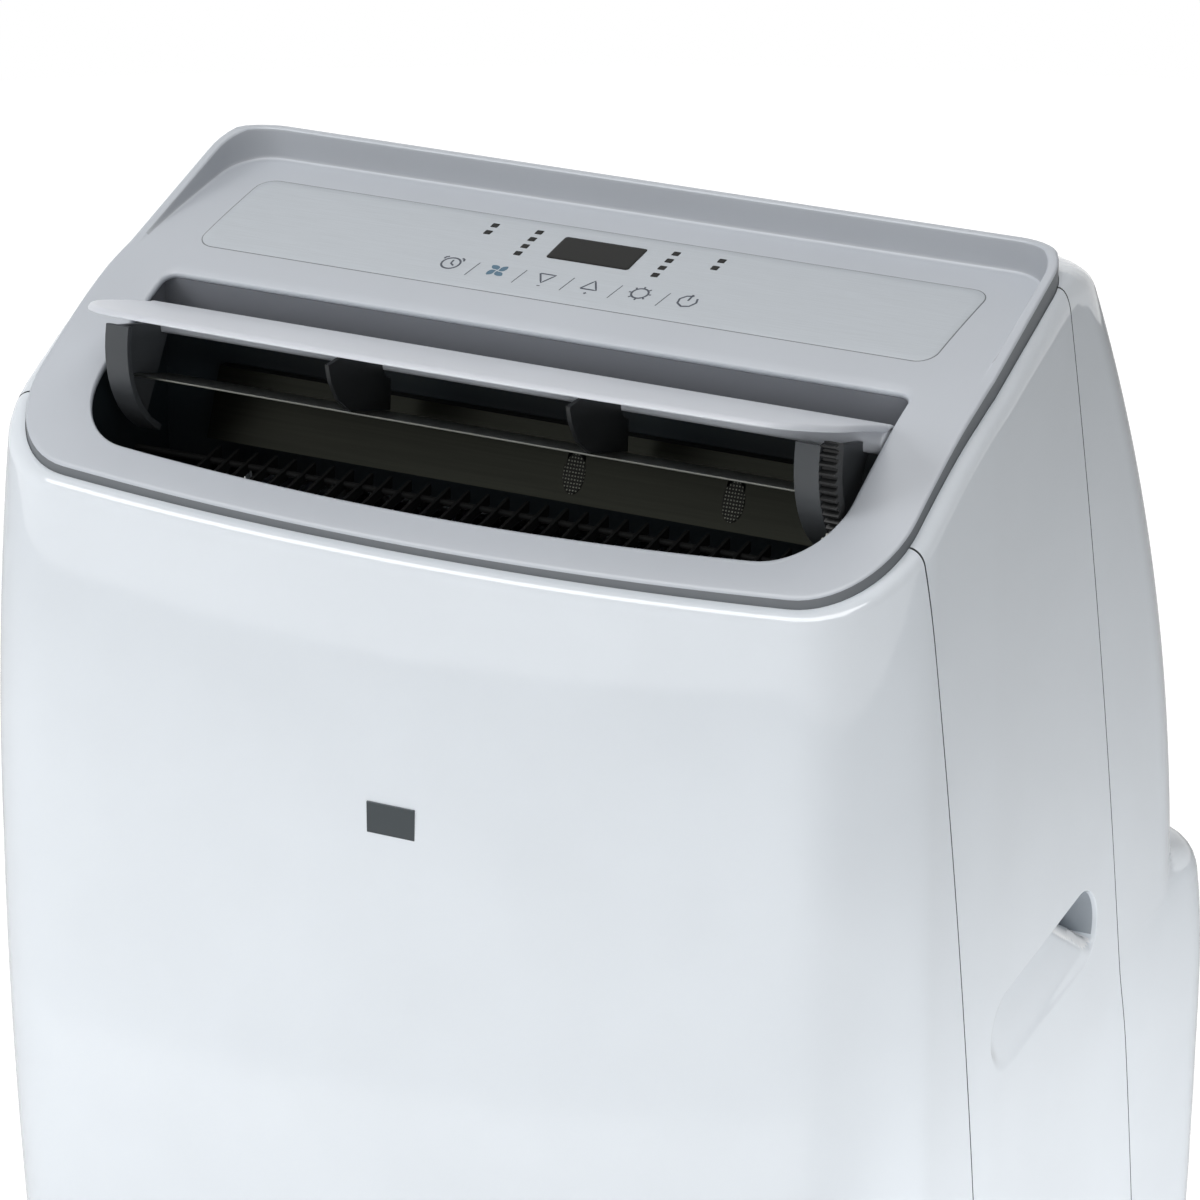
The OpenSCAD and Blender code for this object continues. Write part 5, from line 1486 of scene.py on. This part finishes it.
@dataclass
class Flap:
    """The outlet's flap, drawn shut and then turned open round its pivot.

    Attributes:
        deck: The deck, which gives the outlet's outline.
        open_degrees: How far the flap stands open at rest.
        hinge: Depth of the pivot, and how far it lies below the middle of the deck's bend.
        plate_end: How far in front of the pivot the plate ends.
        gap: Clearance round it.
        thick: Its thickness.
        knuckle_r: Radius of its rolled back edge.
        knuckle_wall: Thickness of that roll.
        knuckle_round: Rounding of the roll's ends.
        knuckle_lap: How far the roll goes past half a turn at either side, in radians.
        edge: Rows over its rounded edge: distance into the outline, and below the deck.
    """

    deck: Deck
    open_degrees: float = 48.0
    hinge: tuple[float, float] = (106.0, 18.0)
    plate_end: float = 6.5
    gap: float = 1.2
    thick: float = 3.6
    knuckle_r: float = 8.0
    knuckle_wall: float = 2.0
    knuckle_round: float = 1.4
    knuckle_lap: float = 0.38
    edge: Sequence[tuple[float, float]] = ((0.4, 3.45), (0.1, 3.1), (0, 2.7), (0, 1.5),
                                           (0.15, 0.9), (0.5, 0.4), (1.0, 0.12))

    @property
    def pivot(self) -> tuple[float, float]:
        """Y and Z of the pivot."""
        depth, below = self.hinge
        return self.deck.form.behind(depth), self.deck.form.deck_z0 - below

    def build(self) -> None:
        """Builds the plate with its rolled back edge."""
        parts = MeshParts()
        parts.add_grid(self._opened(self._plate()))
        parts.add_grid(self._knuckle())
        publish(parts.build("flap_moulding", [SILVER_FLAP]), "flap",
                ["flap_plate"])

    def _opened(self, grid: Array) -> Array:
        """Turns points round the pivot line, from shut to open.

        Args:
            grid: Points of the shut flap.

        Returns:
            The turned points.
        """
        c, s = (f(-math.radians(self.open_degrees)) for f in (math.cos, math.sin))
        py, pz = self.pivot
        y, z = grid[..., 1] - py, grid[..., 2] - pz
        return np.stack([grid[..., 0], py + y * c - z * s, pz + y * s + z * c], axis=-1)

    def _plate(self) -> Array:
        """The plate, shut: rows from the rear edge's underside round the front and back.

        Each row blends the outlet's inset outline evenly into the straight rear edge.

        Returns:
            Its grid of points.
        """
        form, back_y = self.deck.form, self.pivot[0] - self.plate_end
        loop = self.deck.outlet_loop()
        half = (loop - normals(loop) * self.gap)[: len(loop) // 2]
        stop = int(np.argmax(half[:, 1] > back_y))
        f = (back_y - half[stop - 1, 1]) / (half[stop, 1] - half[stop - 1, 1])
        last = half[stop - 1] + (half[stop] - half[stop - 1]) * f
        right = np.concatenate([half[:stop], last[None]])
        front = np.concatenate([mirror_x(right)[:-1], right])
        s = travelled(front) / travelled(front)[-1]
        rear = np.stack([front[0, 0] + (front[-1, 0] - front[0, 0]) * s,
                         np.full(len(front), back_y)], axis=1)
        rows = [(w, 1.0, self.thick) for w in np.linspace(1, 0, 16)]
        rows += [(0, into, low) for into, low in self.edge]
        rows += [(w, 1.7, 0) for w in np.linspace(0, 1, 26)]
        w, into, low = (np.array(column)[:, None, None] for column in zip(*rows))
        xy = (front - normals(front, False) * into) * (1 - w) + rear * w
        xy[..., 1] = np.minimum(xy[..., 1], back_y)
        return with_z(xy, form.deck_z(xy[..., 1]) - low[..., 0])

    def _knuckle(self) -> Array:
        """The rolled back edge: an open ring round the pivot, with rounded ends.

        Returns:
            Its grid of points.
        """
        hw, ends_r = self.deck.outlet_hw - self.gap, self.knuckle_round
        a = np.linspace(0, math.pi / 2, 6)
        ends = np.concatenate([-hw + ends_r * (1 - np.sin(a[::-1])),
                               hw - ends_r * (1 - np.sin(a))])
        radius = self.knuckle_r - ends_r * (1 - np.cos(np.concatenate([a[::-1], a])))
        lap = self.knuckle_lap
        sweep = np.linspace(-lap, math.pi + lap, 28)[:, None]
        py, pz = self.pivot

        def ring(r: Array) -> Array:
            """Points round the pivot line at a radius for each column."""
            return np.stack([np.broadcast_to(ends, (len(sweep), len(ends))), py + r * np.cos(sweep),
                             pz + r * np.sin(sweep)], axis=-1)

        outer, inner = ring(radius), ring(radius - self.knuckle_wall)
        return np.concatenate([outer, inner[::-1], outer[:1]])


@dataclass
class SensorNets:
    """Two oval nets that lie over the holes in the sloping liner.

    Attributes:
        middles: X of each net's middle.
        foot: (y, z) of the liner's lower edge.
        top: (y, z) of its upper edge.
        up: Distance of a net's middle from the foot, along the liner.
        half_w: Half its width.
        half_l: Half its length.
        lift: How far its face stands in front of the liner.
    """

    middles: tuple[float, float] = (30.0, 109.0)
    foot: tuple[float, float] = (-91.5, 653.0)
    top: tuple[float, float] = (-79.3, 683.0)
    up: float = 13.0
    half_w: float = 5.4
    half_l: float = 9.2
    lift: float = 0.5

    def build(self, slot: str) -> None:
        """Builds each net as rings of an oval, from its back edge over its rim to its middle.

        Args:
            slot: The record's material slot; not used.
        """
        foot, top = np.array(self.foot), np.array(self.top)
        along = (top - foot) / np.linalg.norm(top - foot)
        out = np.array([-along[1], along[0]])
        turn = np.linspace(0, 2 * math.pi, 41)[:-1]
        size = np.array([1.0, 1.0, 0.95, 0.6, 0.3, 0.01])[:, None]
        lift = np.array([0.0, 0.7, 1.0, 1.0, 1.0, 1.0])[:, None] * self.lift
        u = self.up + size * self.half_l * np.sin(turn)
        yz = foot + along * u[..., None] + out * lift[..., None]
        parts = MeshParts()
        for middle in self.middles:
            x = middle + size * self.half_w * np.cos(turn)
            parts.add_grid(np.concatenate([x[..., None], yz], axis=-1), wrap=True)
        piece = parts.build("sensor_nets", [SENSOR_NET], Vector((70, 400, 650)))
        publish(piece, "cabinet", ["mesh_patches"])


# ---------------------------------------------------------------- remaining pieces

# Node, body, finish and rounding of the CAD shapes that are seen: each gets soft edges
SEEN_PARTS = [
    ("outlet_duct", "cabinet", DUCT, 0.5),
    ("liner_plate", "cabinet", DARK_LINER, 0.25),
    ("outlet_guard", "cabinet", GUARD_ABS, 0.25),
    ("left_flap_arm", "flap", GREY_ABS, 0.45),
    ("right_flap_arm", "flap", GREY_ABS, 0.45),
    ("flap_ribs", "flap", DARK_ABS, 0.3),
    # The vane is drawn as bright metal, a painted highlight on its grey plastic
    ("flap_vane", "flap", VANE_GLINT, 0.2),
    ("flap_rack", "flap", BLACK_ABS, 0.15),
    ("flap_pinion", "pinion", NYLON, 0.15),
    ("badge_plate", "cabinet", BADGE_STEEL, 0.2),
    ("base_pan", "cabinet", DARK_PAN, 0.5),
    ("exhaust_collar", "cabinet", GREY_ABS, 0.4),
    ("cord_inlet", "cabinet", BLACK_ABS, 0.3),
    ("drain_ports", "cabinet", GREY_ABS, 0.3),
    ("upper_drain_plug", "upper_plug", RUBBER, 0.3),
    ("lower_drain_plug", "lower_plug", RUBBER, 0.3),
    ("upper_filter_frame", "upper_filter", GREY_ABS, 0.3),
    ("lower_filter_frame", "lower_filter", GREY_ABS, 0.3),
    ("panel_screws", "cabinet", GALVANISED, 0.2),
    *(("caster_" + part + place, part + place, finish, round_mm)
      for place in ("front_left", "front_right", "rear_left", "rear_right")
      for part, finish, round_mm in (("fork_", BLACK_ABS, 0.6), ("wheel_", TREAD, 0.8))),
]

# Finish for each material slot of the CAD nodes that stay as they are
SLOT_FINISHES = {
    "grey_plastic": GREY_ABS,
    "black_plastic": BLACK_ABS,
    "white_foam": FOAM,
    "circuit_board": CIRCUIT,
    "galvanised_steel": GALVANISED,
    "aluminium_fins": ALUMINIUM,
    "aluminium_can": ALUMINIUM,
    "copper_pipe": COPPER,
    "black_enamel": ENAMEL,
    "black_rubber": RUBBER,
    "zinc_screws": GALVANISED,
    "filter_net": NET,
}


@dataclass
class Remainder:
    """Every other piece: seen shapes with soft edges, and inner ones with their finish.

    Attributes:
        nodes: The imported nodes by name.
        slots: Material slot of each node.
    """

    nodes: dict
    slots: dict

    def build(self, replaced: set[str]) -> None:
        """Dresses the seen shapes, then finishes what is left.

        Args:
            replaced: Nodes that other pieces stand for.
        """
        for node, body, finish, round_mm in SEEN_PARTS:
            dressed_copy(node, body, finish, round_mm)
        replaced = replaced | {row[0] for row in SEEN_PARTS}
        for name, node in self.nodes.items():
            if name in replaced:
                continue
            finish = SLOT_FINISHES[self.slots[name]].material()
            if not node.material_slots:
                node.data.materials.append(finish)
            for slot in node.material_slots:
                slot.material = finish
            LOG.info("%s keeps its shape in %s", name, finish.name)


# ---------------------------------------------------------------- studio


@dataclass(frozen=True)
class Lamp:
    """A soft rectangular light that the camera doesn't see.

    Attributes:
        name: The light's name.
        place: Its middle, in metres.
        size: Its width and height, in metres.
        power: Its power in watts.
        gloss: Whether it only shows in gloss, or else only lights.
        aim: The point that it faces, in metres.
    """

    name: str
    place: tuple[float, float, float]
    size: tuple[float, float]
    power: float
    gloss: bool = False
    aim: tuple[float, float, float] = (0.0, 0.0, 0.4)

    def hang(self) -> None:
        """Adds the light to the scene."""
        lamp = bpy.data.lights.new(self.name, "AREA")
        lamp.shape = "RECTANGLE"
        lamp.size, lamp.size_y = self.size
        lamp.energy = self.power
        made = bpy.data.objects.new(self.name, lamp)
        made.location = self.place
        way = Vector(self.aim) - made.location
        made.rotation_euler = way.to_track_quat("-Z", "Y").to_euler()
        made.visible_camera = False
        made.visible_glossy = self.gloss
        made.visible_diffuse = not self.gloss
        bpy.context.scene.collection.objects.link(made)


LAMPS = [
    Lamp("left_front", (-1.6, -1.2, 1.4), (1.0, 1.0), 19),
    Lamp("right_front", (1.0, -1.3, 0.75), (0.8, 0.8), 6.4),
    Lamp("low_front", (-0.35, -0.95, 0.12), (1.2, 0.15), 2.3),
    Lamp("low_right", (0.52, -0.1, 0.31), (0.5, 0.2), 0.66),
    Lamp("low_rear_right", (0.5, 0.15, 0.2), (0.5, 0.1), 0.5),
    Lamp("rear_left", (-1.6, 2.2, 1.3), (1.6, 1.2), 22),
    Lamp("top", (0.0, -0.3, 2.6), (2.2, 2.2), 26),
    Lamp("lip_sheen", (-0.3, -1.6, 2.4), (3.0, 1.0), 50, True),
    Lamp("top_sheen", (0.0, -0.3, 2.6), (2.2, 2.2), 60, True),
]


@dataclass(frozen=True)
class Studio:
    """Plain pale floor, soft lights, white surroundings and the camera.

    Attributes:
        yaw: Direction of view from the front towards the right side, in degrees.
        pitch: How far the camera looks down, in degrees.
        distance: Metres from the point looked at.
        target: Point looked at, in metres.
        lens: Focal length in millimetres.
        sensor: Width of the camera's sensor in millimetres.
        floor_r: Radius of the floor in metres, which sets where gloss shows its edge.
        floor_glow: Strength of the floor's own white, where it is seen directly.
        floor_white: Share of that white in the floor, which leaves a faint shadow.
        ambient: Strength of the even light from all round.
    """

    yaw: float = 28.77
    pitch: float = 20.0
    distance: float = 2.7535
    target: tuple[float, float, float] = (-0.0047, 0.0, 0.5723)
    lens: float = 179.85
    sensor: float = 36.0
    floor_r: float = 3.1
    floor_glow: float = 1.2
    floor_white: float = 0.86
    ambient: float = 0.09

    def build(self) -> None:
        """Builds the surroundings, the floor, the lights and the camera."""
        self._world()
        self._floor()
        for lamp in LAMPS:
            lamp.hang()
        self._camera()

    def _seen(self, tree: Tree, rays: Sequence[str]) -> Socket:
        """Tells which rays look at the surroundings, as the largest of Light Path's outputs.

        Args:
            tree: The node tree.
            rays: Names of Light Path's outputs.

        Returns:
            A value of 1 for such a ray, or else 0.
        """
        path = add_node(tree, "ShaderNodeLightPath", {}, {})
        seen = path.outputs[rays[0]]
        for ray in rays[1:]:
            seen = add_node(tree, "ShaderNodeMath", {"operation": "MAXIMUM"},
                            {0: seen, 1: path.outputs[ray]}).outputs[0]
        return seen

    def _world(self) -> None:
        """White where it is seen directly or in gloss or glass, and a soft grey as light."""
        world = bpy.data.worlds.new("studio")
        tree = clear_tree(world)
        soft, white = (add_node(tree, "ShaderNodeBackground",
                                {"Color": linear("#ffffff"), "Strength": strength}, {}).outputs[0]
                       for strength in (self.ambient, 1.0))
        seen = self._seen(tree, ("Is Camera Ray", "Is Glossy Ray", "Is Transmission Ray"))
        mix = add_node(tree, "ShaderNodeMixShader", {}, {0: seen, 1: soft, 2: white})
        add_node(tree, "ShaderNodeOutputWorld", {}, {"Surface": mix.outputs[0]})
        bpy.context.scene.world = world

    def _floor(self) -> None:
        """A round pale floor, as rings: white with a faint shadow where it is seen directly.

        To other rays it is a plain pale surface, so gloss shows it a little darker than the
        white round it.
        """
        radii = [1.0, 1000.0, 2000.0, self.floor_r / MM]
        radius, turn = np.meshgrid(radii, np.linspace(0, 2 * math.pi, 97)[:-1], indexing="ij")
        parts = MeshParts()
        parts.add_grid(with_z(np.stack([radius * np.cos(turn), radius * np.sin(turn)], axis=-1),
                              0 * turn), wrap=True)
        made = bpy.data.materials.new("studio_floor")
        tree = clear_tree(made)
        dull = add_node(tree, "ShaderNodeBsdfDiffuse", {"Color": linear("#f2f2f2")}, {}).outputs[0]
        lit = add_node(tree, "ShaderNodeEmission",
                       {"Color": linear("#ffffff"), "Strength": self.floor_glow}, {})
        pale = add_node(tree, "ShaderNodeMixShader", {0: self.floor_white},
                        {1: dull, 2: lit.outputs[0]})
        seen = self._seen(tree, ("Is Camera Ray", "Is Transmission Ray"))
        last = add_node(tree, "ShaderNodeMixShader", {}, {0: seen, 1: dull, 2: pale.outputs[0]})
        add_node(tree, "ShaderNodeOutputMaterial", {}, {"Surface": last.outputs[0]})
        floor = parts.build("floor", [])
        floor.data.materials.append(made)

    def _camera(self) -> None:
        """The camera, turned by its yaw and pitch round the point it looks at."""
        lens = bpy.data.cameras.new("camera")
        lens.lens = self.lens
        lens.sensor_width = self.sensor
        camera = bpy.data.objects.new("camera", lens)
        camera.rotation_euler = (math.radians(90 - self.pitch), 0, math.radians(self.yaw))
        away = camera.rotation_euler.to_matrix() @ Vector((0, 0, self.distance))
        camera.location = Vector(self.target) + away
        bpy.context.scene.collection.objects.link(camera)
        bpy.context.scene.camera = camera


def main() -> None:
    """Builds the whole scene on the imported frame."""
    logging.basicConfig(level=logging.INFO, format="%(name)s: %(message)s")
    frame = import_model()
    bpy.context.scene.view_settings.view_transform = "Standard"
    form = CabinetForm.from_frame()
    Studio().build()
    Cabinet(form, Roll(form)).build()
    deck = Deck(form)
    deck.build()
    Flap(deck).build()
    slots = {row["node"]: row["material_slot"] for row in frame["record"]["subparts"]}
    SensorNets().build(slots["mesh_patches"])
    Remainder(frame["nodes"], slots).build({
        "front_panel", "left_side_panel", "right_side_panel", "rear_cover", "top_deck",
        "control_overlay", "display_window", "indicator_lenses", "flap_plate", "mesh_patches"})


if __name__ == "__main__":
    main()
